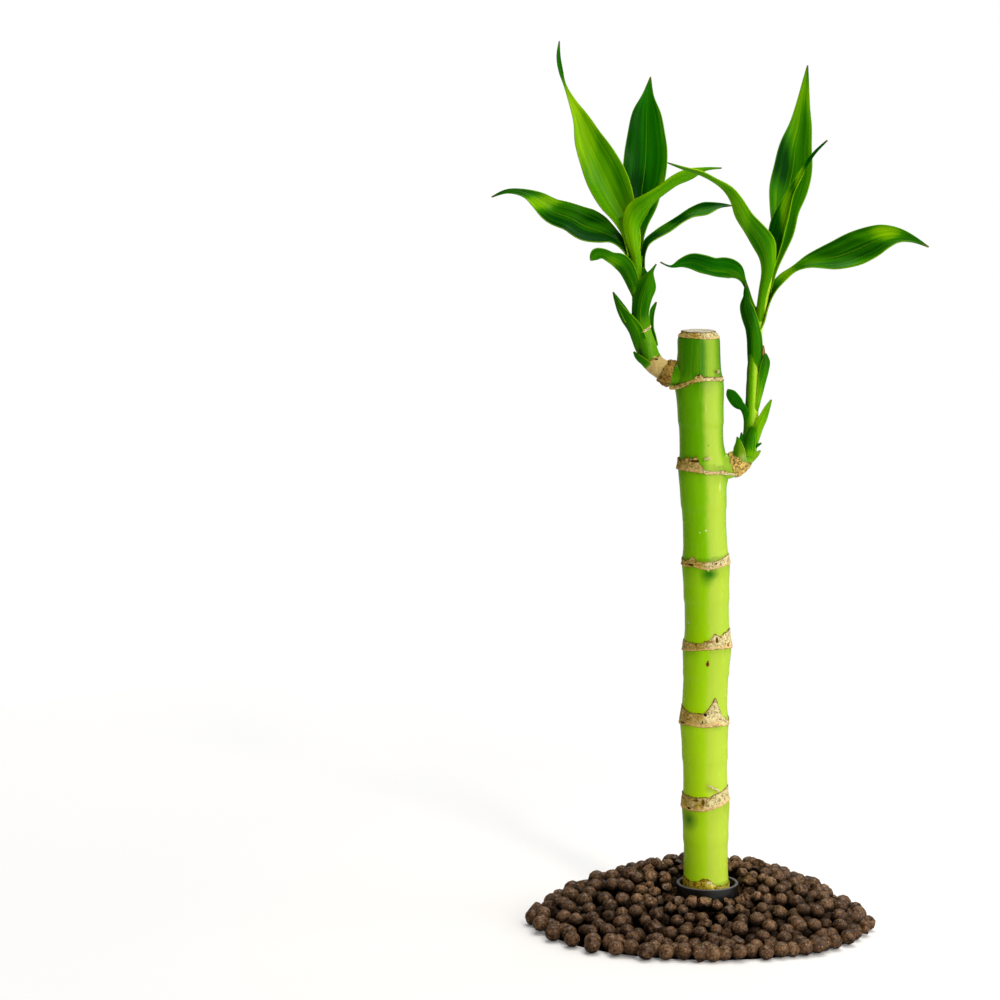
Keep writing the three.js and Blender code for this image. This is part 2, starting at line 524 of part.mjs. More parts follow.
    spine: [[12, -4.8, 211.2, 3.2, 40], [11.8, -4.8, 214, 3.2, 35], [11.6, -4.8, 217, 2.8, 30],
      [11.6, -4.8, 219.6, 1.6, 25], [11, -4.8, 222.4, 0.4, 10]] },
  { name: 'right_scale_low', look: 'shoot', faces: [[-0.6, 0.7, 0.3], [-0.5, 0.7, 0.5]], spans: 3,
    spine: [[15.6, -2.4, 210, 2, 45], [17.4, -2.4, 212, 2.4, 35], [19.2, -2.8, 214, 1.9, 25],
      [21.2, -2.8, 216.2, 0.4, 10]] },
];

function leafSolid(leaf, extra = 0) {
  const rows = leaf.spine.map((row, index) => [index / (leaf.spine.length - 1), ...row]);
  const spine = new THREE.CatmullRomCurve3(leaf.spine.map(([x, y, z]) => new THREE.Vector3(x, y, z)));
  const [rootFace, tipFace] = leaf.faces.map((face) => new THREE.Vector3(...face).normalize());
  const thickness = LEAF_THICKNESS + extra;
  const loops = [];
  for (let span = 0; span <= leaf.spans; span += 1) {
    const share = span / leaf.spans;
    const middle = spine.getPoint(share);
    const along = spine.getTangent(share);
    const halfWidth = between(rows, share, 4) + extra / 2;
    const cup = THREE.MathUtils.degToRad(between(rows, share, 5));
    const across = rootFace.clone().lerp(tipFace, share).cross(along).normalize();
    const inward = along.clone().cross(across);
    const edge = (u, side) => {
      const bend = cup * u;
      const point = middle.clone();
      const radius = halfWidth / cup;
      point.addScaledVector(across, (radius - side * thickness * 0.5) * Math.sin(bend));
      return point.addScaledVector(inward, radius - (radius - side * thickness * 0.5) * Math.cos(bend));
    };
    loops.push([...ACROSS.map((u) => edge(u, 1)), ...ACROSS.toReversed().map((u) => edge(u, -1))]);
  }
  return loft(loops);
}

const roomForLeaves = [];
for (const leaf of LEAVES) {
  const solid = carve(leafSolid(leaf), [roomForCane, ...roomForShoots, ...roomForLeaves]);
  roomForLeaves.push(leafSolid(leaf, 2 * GAP));
  addPiece(leaf.name, solid, FINISH[leaf.look]);
}

// ---------------------------------------------------------------- cup and its soil

function cupOuter(extra = 0) {
  return [
    [0, -extra],
    [CUP_FOOT_RADIUS + extra, -extra],
    [CUP_RIM_RADIUS + extra, CUP_HEIGHT - 0.6],
    [CUP_RIM_RADIUS - 0.4 + extra, CUP_HEIGHT + extra],
  ];
}

const cupInnerFoot = CUP_FOOT_RADIUS - CUP_WALL;
const cupInnerRim = CUP_RIM_RADIUS - CUP_WALL;
const cupProfile = [
  ...cupOuter(),
  [cupInnerRim + 0.2, CUP_HEIGHT],
  [cupInnerRim, CUP_HEIGHT - 0.5],
  [cupInnerFoot, CUP_FLOOR],
  [0, CUP_FLOOR],
];
addPiece('holder_cup', lathe(cupProfile, CUP_SIDES), FINISH.cup);

const innerRadius = (height) => between([[CUP_FLOOR, cupInnerFoot], [CUP_HEIGHT, cupInnerRim]], height);
const soilProfile = [
  [0, CUP_FLOOR + GAP],
  [innerRadius(CUP_FLOOR) - GAP, CUP_FLOOR + GAP],
  [innerRadius(CUP_SOIL_TOP) - GAP, CUP_SOIL_TOP],
  [0, CUP_SOIL_TOP],
];
addPiece('cup_soil', carve(lathe(soilProfile, CUP_SIDES), [roomForCane]), FINISH.soil);

// ---------------------------------------------------------------- heap of pellets

// Height of the middle of the pellets at a place.
function heapLevel(x, y) {
  const fromCentre = new THREE.Vector2(x, y).sub(HEAP_CENTRE).divide(HEAP_REACH);
  const lean = 1 + HEAP_BACK_RISE * fromCentre.y + HEAP_RIGHT_RISE * fromCentre.x;
  const rise = HEAP_RISE * (1 - fromCentre.lengthSq()) * lean;
  const fromCup = Math.max(0, Math.hypot(x, y) - CUP_RIM_RADIUS);
  return HEAP_EDGE + rise - HEAP_DIP * Math.exp(-fromCup / HEAP_DIP_WIDTH);
}

// A pellet has a top, a ring of six points, and six corners in the gaps round it. It shares
// each corner with two neighbours. Past the outermost pellets the corners lie at their waist,
// and each has a foot under it on the table.
const NEIGHBOURS = [[1, 0], [0, 1], [-1, 1], [-1, 0], [0, -1], [1, -1]];

function pelletPlaces() {
  const draw = seededDraw(7);
  const places = new Map();
  const rows = Math.ceil((2 * HEAP_REACH.x) / PELLET_SPACING);
  for (let row = -rows; row <= rows; row += 1) {
    for (let column = -rows; column <= rows; column += 1) {
      const u = (column + row / 2) * PELLET_SPACING;
      const v = row * PELLET_SPACING * Math.sqrt(0.75);
      const x = HEAP_CENTRE.x + u + HEAP_WANDER * Math.sin(v / BEND_ACROSS) + PELLET_JITTER * (draw() - 0.5);
      const y = HEAP_CENTRE.y + v + HEAP_WANDER * Math.sin(u / BEND_ALONG) + PELLET_JITTER * (draw() - 0.5);
      const lift = PELLET_LIFT * (draw() - 0.5);
      const reach = new THREE.Vector2(x, y).sub(HEAP_CENTRE).divide(HEAP_REACH).length();
      const inside = reach <= 1 + HEAP_RAGGED * (draw() - 0.5);
      const height = Math.max(HEAP_EDGE, heapLevel(x, y) + lift);
      places.set(`${column},${row}`, { column, row, inside, middle: new THREE.Vector3(x, y, height) });
    }
  }
  return places;
}

// The middle of three places, where one past the outermost pellets counts less.
function amongTrio(trio, spread) {
  const weights = trio.map((place) => (place.inside ? 1 : spread));
  const whole = weights.reduce((sum, weight) => sum + weight);
  const point = new THREE.Vector3();
  trio.forEach((place, index) => point.addScaledVector(place.middle, weights[index] / whole));
  return point;
}

function heapSolid() {
  const places = pelletPlaces();
  const corners = [];
  const faces = [];
  const sharedCorners = new Map();
  const feet = new Map(); // each waist corner and the foot under it
  const outline = new Map(); // each waist corner and the next one along the edge
  const addCorner = (point) => corners.push(point) - 1;
  const cornerOf = (trio) => {
    const key = trio.map(({ column, row }) => `${column},${row}`).sort().join(' ');
    if (sharedCorners.has(key)) return sharedCorners.get(key);
    const isGap = trio.every((place) => place.inside);
    const point = amongTrio(trio, WAIST_SPREAD);
    point.z = isGap ? Math.max(GAP_FLOOR, point.z - GAP_DEPTH) : WAIST_HEIGHT;
    const corner = addCorner(point);
    if (!isGap) feet.set(corner, addCorner(amongTrio(trio, FOOT_SPREAD).setZ(0)));
    sharedCorners.set(key, corner);
    return corner;
  };
  for (const place of places.values()) {
    if (!place.inside) continue;
    const around = NEIGHBOURS.map(([column, row]) => {
      return places.get(`${place.column + column},${place.row + row}`);
    });
    const top = addCorner(place.middle.clone().setZ(place.middle.z + PELLET_RADIUS));
    const edge = around.map((next, i) => cornerOf([place, next, around[(i + 1) % 6]]));
    const ring = edge.map((corner) => {
      const out = corners[corner].clone().sub(place.middle).setZ(0).setLength(RING_SHARE * PELLET_RADIUS);
      out.z = PELLET_RADIUS * Math.sqrt(1 - RING_SHARE ** 2);
      return addCorner(place.middle.clone().add(out));
    });
    for (let i = 0; i < 6; i += 1) {
      const next = (i + 1) % 6;
      faces.push(top, ring[i], ring[next]);
      faces.push(ring[i], edge[i], edge[next], ring[i], edge[next], ring[next]);
      if (!around[next].inside) outline.set(edge[i], edge[next]);
    }
  }
  const base = [];
  for (let corner = outline.keys().next().value; base.length < outline.size; corner = outline.get(corner)) {
    const [next, foot] = [outline.get(corner), feet.get(corner)];
    faces.push(corner, foot, feet.get(next), corner, feet.get(next), next);
    base.push(foot);
  }
  const flat = base.map((foot) => new THREE.Vector2(corners[foot].x, corners[foot].y));
  for (const [a, b, c] of THREE.ShapeUtils.triangulateShape(flat, [])) {
    faces.push(base[a], base[c], base[b]);
  }
  const aboveHeap = 2 * CUP_HEIGHT;
  const roomForCup = lathe([...cupOuter(GAP), [CUP_RIM_RADIUS, aboveHeap], [0, aboveHeap]], CUP_SIDES);
  return carve(solidOf(corners, faces), [roomForCup]);
}

addPiece('pellet_heap', heapSolid(), FINISH.pellets);

export default plant;
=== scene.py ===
"""Lucky bamboo: the looks of one cane with two leafy shoots, in a small cup in a heap of pellets."""

import math
import random

import bmesh
import bpy
from mathutils import Matrix, Vector, noise


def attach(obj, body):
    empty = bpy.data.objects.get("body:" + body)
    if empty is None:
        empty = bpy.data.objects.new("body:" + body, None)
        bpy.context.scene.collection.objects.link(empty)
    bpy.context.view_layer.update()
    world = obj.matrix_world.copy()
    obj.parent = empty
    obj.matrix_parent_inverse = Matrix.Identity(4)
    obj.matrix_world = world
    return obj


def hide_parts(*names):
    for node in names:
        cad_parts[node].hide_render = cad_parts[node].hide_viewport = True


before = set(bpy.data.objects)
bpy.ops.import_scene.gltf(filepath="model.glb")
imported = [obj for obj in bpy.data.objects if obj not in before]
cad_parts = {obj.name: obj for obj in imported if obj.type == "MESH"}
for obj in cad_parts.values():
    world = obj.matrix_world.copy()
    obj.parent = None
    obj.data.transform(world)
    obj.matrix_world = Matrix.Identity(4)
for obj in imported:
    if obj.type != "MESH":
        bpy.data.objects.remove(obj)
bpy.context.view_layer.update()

MM = 0.001
BENCH = 10.0  # metres above the plant, where a flat blank is shaped before it goes to its place
WHITE = (1, 1, 1, 1)
FULL_TURN = 2 * math.pi


# ---------------------------- numbers and lines

def level_between(rows, key, column=1):
    """The value of a list of rows at a key between them, on straight lines."""
    if key <= rows[0][0]:
        return rows[0][column]
    for low, high in zip(rows, rows[1:]):
        if key <= high[0]:
            return low[column] + (high[column] - low[column]) * (key - low[0]) / (high[0] - low[0])
    return rows[-1][column]


def smooth_row(rows, share):
    """The row at a share of the way through a list, on a smooth line through all the rows."""
    spot = share * (len(rows) - 1)
    index = min(int(spot), len(rows) - 2)
    t = spot - index
    four = [rows[min(max(index + k, 0), len(rows) - 1)] for k in (-1, 0, 1, 2)]
    return [0.5 * (2 * b + (c - a) * t + (2 * a - 5 * b + 4 * c - d) * t * t
                   + (3 * b - a - 3 * c + d) * t ** 3) for a, b, c, d in zip(*four)]


def smooth_step(low, high, value):
    t = min(max((value - low) / (high - low), 0), 1)
    return t * t * (3 - 2 * t)


# ---------------------------- shaping by hand

def clear_bench():
    if bpy.context.object and bpy.context.object.mode != "OBJECT":
        bpy.ops.object.mode_set(mode="OBJECT")
    bpy.ops.object.select_all(action="DESELECT")


def take(piece):
    """Selects this piece alone."""
    clear_bench()
    piece.select_set(True)
    bpy.context.view_layer.objects.active = piece


def start_shaping(piece):
    """Opens a piece for shaping, with all its points picked."""
    take(piece)
    bpy.ops.object.mode_set(mode="EDIT")
    bpy.ops.mesh.select_mode(type="VERT")
    bpy.ops.mesh.select_all(action="SELECT")


def pick_points(piece, wanted):
    """Selects the points of the shaped piece whose place is wanted."""
    mesh = bmesh.from_edit_mesh(piece.data)
    for part in (*mesh.faces, *mesh.edges):
        part.select = False
    for point in mesh.verts:
        point.select = wanted(point.co)
    mesh.select_flush(True)
    bmesh.update_edit_mesh(piece.data)


def turn(angle, axis, centre):
    """Turns what is selected; the operator turns the other way where there is no window."""
    bpy.ops.transform.rotate(value=-angle, orient_axis=axis, center_override=centre)


def move(offset):
    bpy.ops.transform.translate(value=offset)


def stretch(factors, centre):
    bpy.ops.transform.resize(value=factors, center_override=centre)


def draw_up(offset):
    bpy.ops.mesh.extrude_region_move(TRANSFORM_OT_translate={"value": offset})


def draw_rings(rings):
    """Draws the picked ring on through the rest: each has a place, a radius and a lean."""
    for (below, old_radius, tilt), (above, radius, lean) in zip(rings, rings[1:]):
        draw_up(above - below)
        stretch((radius / old_radius,) * 3, above)
        if lean != tilt:
            turn(lean - tilt, "Y", above)


def apply_modifier(piece, kind, **settings):
    take(piece)
    modifier = piece.modifiers.new(kind.lower(), kind)
    for key, value in settings.items():
        setattr(modifier, key, value)
    bpy.ops.object.modifier_apply(modifier=modifier.name)


def roughen(piece, size, depth, seed):
    """Pushes the surface in and out by a cloudy pattern of bumps of this size."""
    texture = bpy.data.textures.new(f"bumps_{piece.name}_{seed}", "CLOUDS")
    texture.noise_scale, texture.noise_depth = size, 2
    shift = bpy.data.objects.new(f"shift_{piece.name}_{seed}", None)
    bpy.context.scene.collection.objects.link(shift)
    shift.location = (0.31 * seed, 0.17 * seed, 0.23 * seed)
    bpy.context.view_layer.update()
    apply_modifier(piece, "DISPLACE", texture=texture, strength=depth, mid_level=0.5,
                   texture_coords="OBJECT", texture_coords_object=shift)
    bpy.data.objects.remove(shift)


def shade(piece, angle=None):
    take(piece)
    if angle is None:
        bpy.ops.object.shade_smooth()
    else:
        bpy.ops.object.shade_smooth_by_angle(angle=math.radians(angle))


def smooth_out(piece, levels):
    apply_modifier(piece, "SUBSURF", levels=levels, render_levels=levels)


def finish_surface(piece, levels, *bumps, angle=None):
    """Smooths a piece out and roughens it: each layer of bumps has a size, a depth and a seed."""
    smooth_out(piece, levels)
    for size, depth, seed in bumps:
        roughen(piece, size, depth, seed)
    shade(piece, angle)
    return piece


def mend_normals(piece):
    """Joins points that lie on each other and turns every face outwards."""
    start_shaping(piece)
    bpy.ops.mesh.remove_doubles(threshold=1e-6)
    bpy.ops.mesh.normals_make_consistent(inside=False)
    clear_bench()


def set_down(piece):
    """Puts the object's place and turn into its mesh."""
    take(piece)
    bpy.ops.object.transform_apply(location=True, rotation=True, scale=True)


def named(name):
    piece = bpy.context.active_object
    piece.name = piece.data.name = name
    return piece


def new_ring(name, sides, radius, place=(0, 0, 0), turned=(0, 0, 0), fill="NGON"):
    """A ring of points, set down and picked, for a piece that is drawn up from it."""
    bpy.ops.mesh.primitive_circle_add(vertices=sides, radius=radius, fill_type=fill,
                                      location=place, rotation=turned)
    piece = named(name)
    set_down(piece)
    start_shaping(piece)
    return piece


def store(mesh, title, values):
    """Stores one number on each point of a mesh, for its material to read."""
    mesh.attributes.new(title, "FLOAT", "POINT").data.foreach_set("value", values)


def paint_points(piece, title, value_of):
    store(piece.data, title, [value_of(point.co) for point in piece.data.vertices])


def hand_in(piece, material, slot, *nodes):
    piece.data.materials.clear()
    piece.data.materials.append(material)
    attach(piece, "root")
    if nodes:
        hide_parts(*nodes)


# ---------------------------- shader building blocks

def colour(red, green, blue):
    """A colour given as on a screen, 0 to 255, made linear for a socket."""
    return (*(((c / 255 + 0.055) / 1.055) ** 2.4 if c > 10 else c / 255 / 12.92
              for c in (red, green, blue)), 1)


class Nodes:
    """A node tree, with short ways to add to it."""

    def __init__(self, tree):
        self.tree = tree

    def put(self, given, socket):
        """Links a socket to another one, or sets its value; a colour of three numbers is a screen's."""
        if isinstance(given, bpy.types.NodeSocket):
            self.tree.links.new(given, socket)
        elif socket.type == "RGBA" and len(given) == 3:
            socket.default_value = colour(*given)
        else:
            socket.default_value = given

    def add(self, kind, inputs=None, **settings):
        node = self.tree.nodes.new("ShaderNode" + kind)
        for key, value in settings.items():
            setattr(node, key, value)
        for title, given in (inputs or {}).items():
            self.put(given, node.inputs[title])
        return node.outputs

    def maths(self, operation, *values, clamp=False):
        return self.add("Math", dict(enumerate(values)), operation=operation, use_clamp=clamp)[0]

    def times(self, value, factor, clamp=False):
        return self.maths("MULTIPLY", value, factor, clamp=clamp)

    def fit(self, value, slope, start, clamp=False):
        """A value taken through one straight line."""
        return self.maths("MULTIPLY_ADD", value, slope, start, clamp=clamp)

    def inverse(self, value):
        return self.maths("SUBTRACT", 1.0, value, clamp=True)

    def centred(self, value, middle=0.5):
        return self.maths("SUBTRACT", value, middle)

    def vector(self, operation, *values):
        return self.add("VectorMath", dict(enumerate(values)), operation=operation)[0]

    def length(self, vector):
        return self.add("VectorMath", {0: vector}, operation="LENGTH")["Value"]

    def split(self, vector):
        return self.add("SeparateXYZ", {0: vector})

    def read(self, title):
        return self.add("Attribute", attribute_name=title)["Fac"]

    def noise(self, vector, size, detail, roughness=0.5, twist=0.0):
        return self.add("TexNoise", {"Vector": vector, "Scale": size, "Detail": detail,
                                     "Roughness": roughness, "Distortion": twist})["Fac"]

    def blend(self, share, first, second, mode="MIX"):
        return self.add("Mix", {0: share, 6: first, 7: second}, data_type="RGBA", blend_type=mode,
                        clamp_factor=True)[2]

    def ramp(self, value, *stops):
        """A value taken through straight lines: each stop is a place and its level or its colour."""
        result = self.add("ValToRGB", {0: value})[0]
        bands = result.node.color_ramp.elements
        bands[0].position, bands[1].position = stops[0][0], stops[-1][0]
        for place, level in stops[1:-1]:
            bands.new(place)
        for band, (place, level) in zip(bands, stops):
            band.color = colour(*level) if isinstance(level, tuple) else (level, level, level, 1)
        return result

    def use(self, shared, **inputs):
        node = self.tree.nodes.new("ShaderNodeGroup")
        node.node_tree = shared
        for title, given in inputs.items():
            self.put(given, node.inputs[title.replace("_", " ")])
        return node.outputs


def shared_group(name, inputs, results):
    """Makes a node group of a function that leads from its inputs, with these defaults, to results."""
    def build(leads):
        tree = bpy.data.node_groups.new(name, "ShaderNodeTree")
        for title, default in {"Vector": (0, 0, 0), **inputs}.items():
            kind = {3: "Vector", 4: "Color"}[len(default)] if isinstance(default, tuple) else "Float"
            socket = tree.interface.new_socket(name=title, in_out="INPUT", socket_type="NodeSocket" + kind)
            socket.default_value = default
        for title in results:
            kind = "Color" if title == "Colour" else "Float"
            tree.interface.new_socket(name=title, in_out="OUTPUT", socket_type="NodeSocket" + kind)
        given, put = tree.nodes.new("NodeGroupInput").outputs, tree.nodes.new("NodeGroupOutput").inputs
        for title, value in zip(results, leads(Nodes(tree), given)):
            tree.links.new(value, put[title])
        return tree
    return build


@shared_group("soft_mottle", {"Size": 100.0, "Light tone": WHITE, "Dark tone": WHITE, "Contrast": 1.0},
              ["Colour", "Value"])
def MOTTLE(nodes, given):
    """Two tones that drift into each other in soft patches."""
    cloud = nodes.noise(given["Vector"], given["Size"], detail=4.0, roughness=0.55)
    spread = nodes.fit(nodes.centred(cloud), given["Contrast"], 0.5, clamp=True)
    return nodes.blend(spread, given["Dark tone"], given["Light tone"]), spread


@shared_group("long_fibres", {"Size": 400.0, "Length": 0.05}, ["Height"])
def FIBRES(nodes, given):
    """Fine lines that run up the piece, as a height."""
    squeeze = nodes.add("CombineXYZ", {0: 1.0, 1: 1.0, 2: given["Length"]})[0]
    drawn = nodes.vector("MULTIPLY", given["Vector"], squeeze)
    return [nodes.noise(drawn, given["Size"], detail=3.0, roughness=0.6)]


@shared_group("sparse_specks", {"Size": 200.0, "Share": 0.1, "Radius": 0.2}, ["Mask"])
def SPECKS(nodes, given):
    """Sparse round specks, each in its own cell."""
    cells = nodes.add("TexVoronoi", {"Vector": given["Vector"], "Scale": given["Size"]})
    draw = nodes.add("SeparateColor", {0: cells["Color"]})[0]
    chosen = nodes.maths("LESS_THAN", draw, given["Share"])
    near = nodes.maths("SUBTRACT", given["Radius"], cells["Distance"])
    return [nodes.times(chosen, nodes.times(near, 12.0, clamp=True))]


@shared_group("dry_crinkle", {"Size": 500.0, "Twist": 0.5}, ["Height", "Groove_shade"])
def CRINKLE(nodes, given):
    """Dry wrinkles and pits, as a height, and a mask of their low places, where shade is painted into the
    grooves.
    """
    coarse = nodes.noise(given["Vector"], given["Size"], detail=6.0, roughness=0.65, twist=given["Twist"])
    fine = nodes.add("TexVoronoi", {"Vector": given["Vector"], "Scale": nodes.times(given["Size"], 1.7)},
                     feature="DISTANCE_TO_EDGE")["Distance"]
    cracks = nodes.ramp(fine, (0.0, 0.0), (0.12, 1.0))
    height = nodes.fit(cracks, 0.35, nodes.times(coarse, 0.8))
    return height, nodes.ramp(coarse, (0.38, 1.0), (0.54, 0.0))


@shared_group("papery_folds", {"Size": 500.0, "Folds": 5.0}, ["Height", "Fold_shade"])
def FOLDS(nodes, given):
    """Wavy papery folds: a height, and a mask of the low lines between them, where shade is painted into the
    creases.
    """
    cloud = nodes.noise(given["Vector"], given["Size"], detail=2.5, twist=0.6)
    height = nodes.times(nodes.maths("PINGPONG", nodes.times(cloud, given["Folds"]), 0.5), 2.0)
    return height, nodes.ramp(height, (0.06, 1.0), (0.42, 0.0))


@shared_group("leaf_veins", {"Breadth": 1.0, "Midrib": 0.014, "Margin": 0.022},
              ["Veins", "Midrib", "Margin", "Height", "Along"])
def VEINS(nodes, given):
    """Soft lengthwise bands, fine veins, midrib and margins of a leaf, from its own map."""
    across, along, _ = nodes.split(given["Vector"])
    drawn = nodes.vector("MULTIPLY", given["Vector"], (1.0, 0.06, 1.0))
    soft = nodes.fit(nodes.centred(nodes.noise(drawn, 9.0, detail=1.0)), 3.0, 0.5)
    lines = nodes.noise(drawn, 26.0, detail=1.0)
    calm = nodes.ramp(given["Breadth"], (0.3, 0.0), (0.8, 1.0))
    fine = nodes.times(nodes.times(nodes.centred(lines), 2.6), calm)
    off_middle = nodes.maths("ABSOLUTE", nodes.centred(across))
    width = nodes.times(given["Midrib"], nodes.fit(along, -0.7, 1.0))
    midrib = nodes.inverse(nodes.maths("DIVIDE", off_middle, width))
    edge = nodes.maths("DIVIDE", given["Margin"], nodes.maths("MAXIMUM", given["Breadth"], 0.1))
    from_edge = nodes.maths("SUBTRACT", 0.5, off_middle)
    margin = nodes.inverse(nodes.maths("DIVIDE", from_edge, edge))
    height = nodes.times(nodes.maths("SUBTRACT", lines, midrib), calm)
    return nodes.maths("ADD", fine, soft), midrib, margin, height, along


@shared_group("single_spot", {"Centre": (0, 0, 0), "Shape": (1, 1, 1), "Radius": 0.001}, ["Mask"])
def SPOT(nodes, given):
    """A soft round spot about one place on the piece."""
    offset = nodes.vector("SUBTRACT", given["Vector"], given["Centre"])
    far = nodes.length(nodes.vector("DIVIDE", offset, given["Shape"]))
    return [nodes.inverse(nodes.maths("DIVIDE", far, given["Radius"]))]


class Finish(Nodes):
    """A material in the making: each step paints over its tone."""

    def __init__(self, name, **settings):
        self.material = bpy.data.materials.new(name)
        self.material.use_nodes = True
        super().__init__(self.material.node_tree)
        self.shader = self.tree.nodes["Principled BSDF"].inputs
        for title, value in settings.items():
            self.shader[title.replace("_", " ")].default_value = value
        self.spot = self.add("TexCoord")["Object"]

    def pattern(self, shared, **inputs):
        return self.use(shared, Vector=self.spot, **inputs)

    def mottle(self, size, contrast, light=WHITE, dark=WHITE):
        return self.pattern(MOTTLE, Size=size, Contrast=contrast, Light_tone=light, Dark_tone=dark)

    def paint(self, mask, tone, strength=1.0):
        """Paints a tone over what is there, where the mask says."""
        share = mask if strength == 1 else self.times(mask, strength)
        self.tone = self.blend(share, self.tone, tone)

    def dot(self, tone, strength, **specks):
        """Paints sparse specks."""
        self.paint(self.pattern(SPECKS, **specks)["Mask"], tone, strength)

    def mark(self, rows, depth=3):
        """Paints single marks, in mm: place, stretch across and up, radius, strength, colour."""
        for x, y, z, across, up, radius, strength, *tone in rows:
            spot = self.pattern(SPOT, Centre=Vector((x, y, z)) * MM, Shape=(across, depth, up),
                                Radius=radius * MM)["Mask"]
            self.paint(self.times(spot, strength, clamp=True), tone)

    def done(self, height, distance, strength, roughness=None):
        """Hands the tone, the roughness where it varies and the relief to the shader."""
        self.put(self.tone, self.shader["Base Color"])
        if roughness:
            self.put(roughness, self.shader["Roughness"])
        relief = self.add("Bump", {"Height": height, "Distance": distance, "Strength": strength})
        self.put(relief[0], self.shader["Normal"])
        return self.material


# ---------------------------- finishes

# Height in mm and colour of the skin, from the foot to the cut: the change with height is the skin's own
# green; the first list is its left side in painted shade, the second its right side in painted light, with a
# bluish tint as a painted highlight.
PAINTED_SHADE_SIDE = [(0, (178, 224, 0)), (60, (174, 220, 0)), (130, (160, 214, 0)), (165, (150, 208, 0)),
              (170, (130, 196, 0)), (208, (124, 192, 0)), (214, (106, 176, 0)), (246, (100, 170, 0)),
              (250, (68, 138, 0)), (267, (60, 132, 0))]
PAINTED_LIT_SIDE = [(0, (192, 218, 64)), (60, (188, 214, 62)), (110, (180, 208, 60)), (208, (176, 206, 60)),
              (246, (172, 204, 60)), (250, (148, 186, 36)), (267, (140, 182, 34))]
# Marks on the cane, on the dry elbow of the left shoot, on the husks, and a scrap of moss on the
# pellets in front of the cup, as in Finish.mark.
# The near-white marks among them are painted glints.
CANE_MARKS_AND_GLINTS = [
    (-0.9, -10, 122.3, 1, 1.5, 0.9, 3, 110, 24, 20), (-0.7, -10, 123.6, 1, 1, 0.5, 3, 96, 20, 24),
    (-0.6, -10, 162.4, 1.5, 1.1, 3.2, 1.3, 44, 116, 0), (-1.4, -10, 159.6, 1.4, 1.6, 2.6, 0.6, 64, 134, 0),
    (-8.4, -7.7, 51.4, 1.2, 1.5, 4, 1, 56, 120, 0), (-2.2, -10, 181.6, 1, 1, 0.5, 2, 232, 240, 200),
    (-4.8, -10, 180.7, 1, 1, 0.45, 2, 232, 240, 200), (-9.7, -6.6, 139.9, 1, 1.3, 0.7, 2, 226, 236, 190),
    (-2.7, -10, 235.1, 0.7, 3, 0.7, 0.4, 226, 240, 150),
    (3.7, -7.7, 200.6, 0.6, 3.6, 0.8, 0.7, 238, 246, 196), (-1.4, -10, 219, 1.3, 1, 0.6, 1.6, 104, 160, 0),
    (-9.8, -4, 86.5, 1, 1.8, 0.9, 1.5, 84, 122, 10),
]
# The dark mark is painted shade in a small hole in the elbow; the pale one beside it is a bud.
STEM_MARKS_AND_SHADE = [
    (-24.9, -4, 256.9, 1.5, 0.7, 0.8, 2, 206, 204, 110), (-24.5, -4, 256, 1.4, 0.7, 0.7, 3, 24, 40, 4),
]
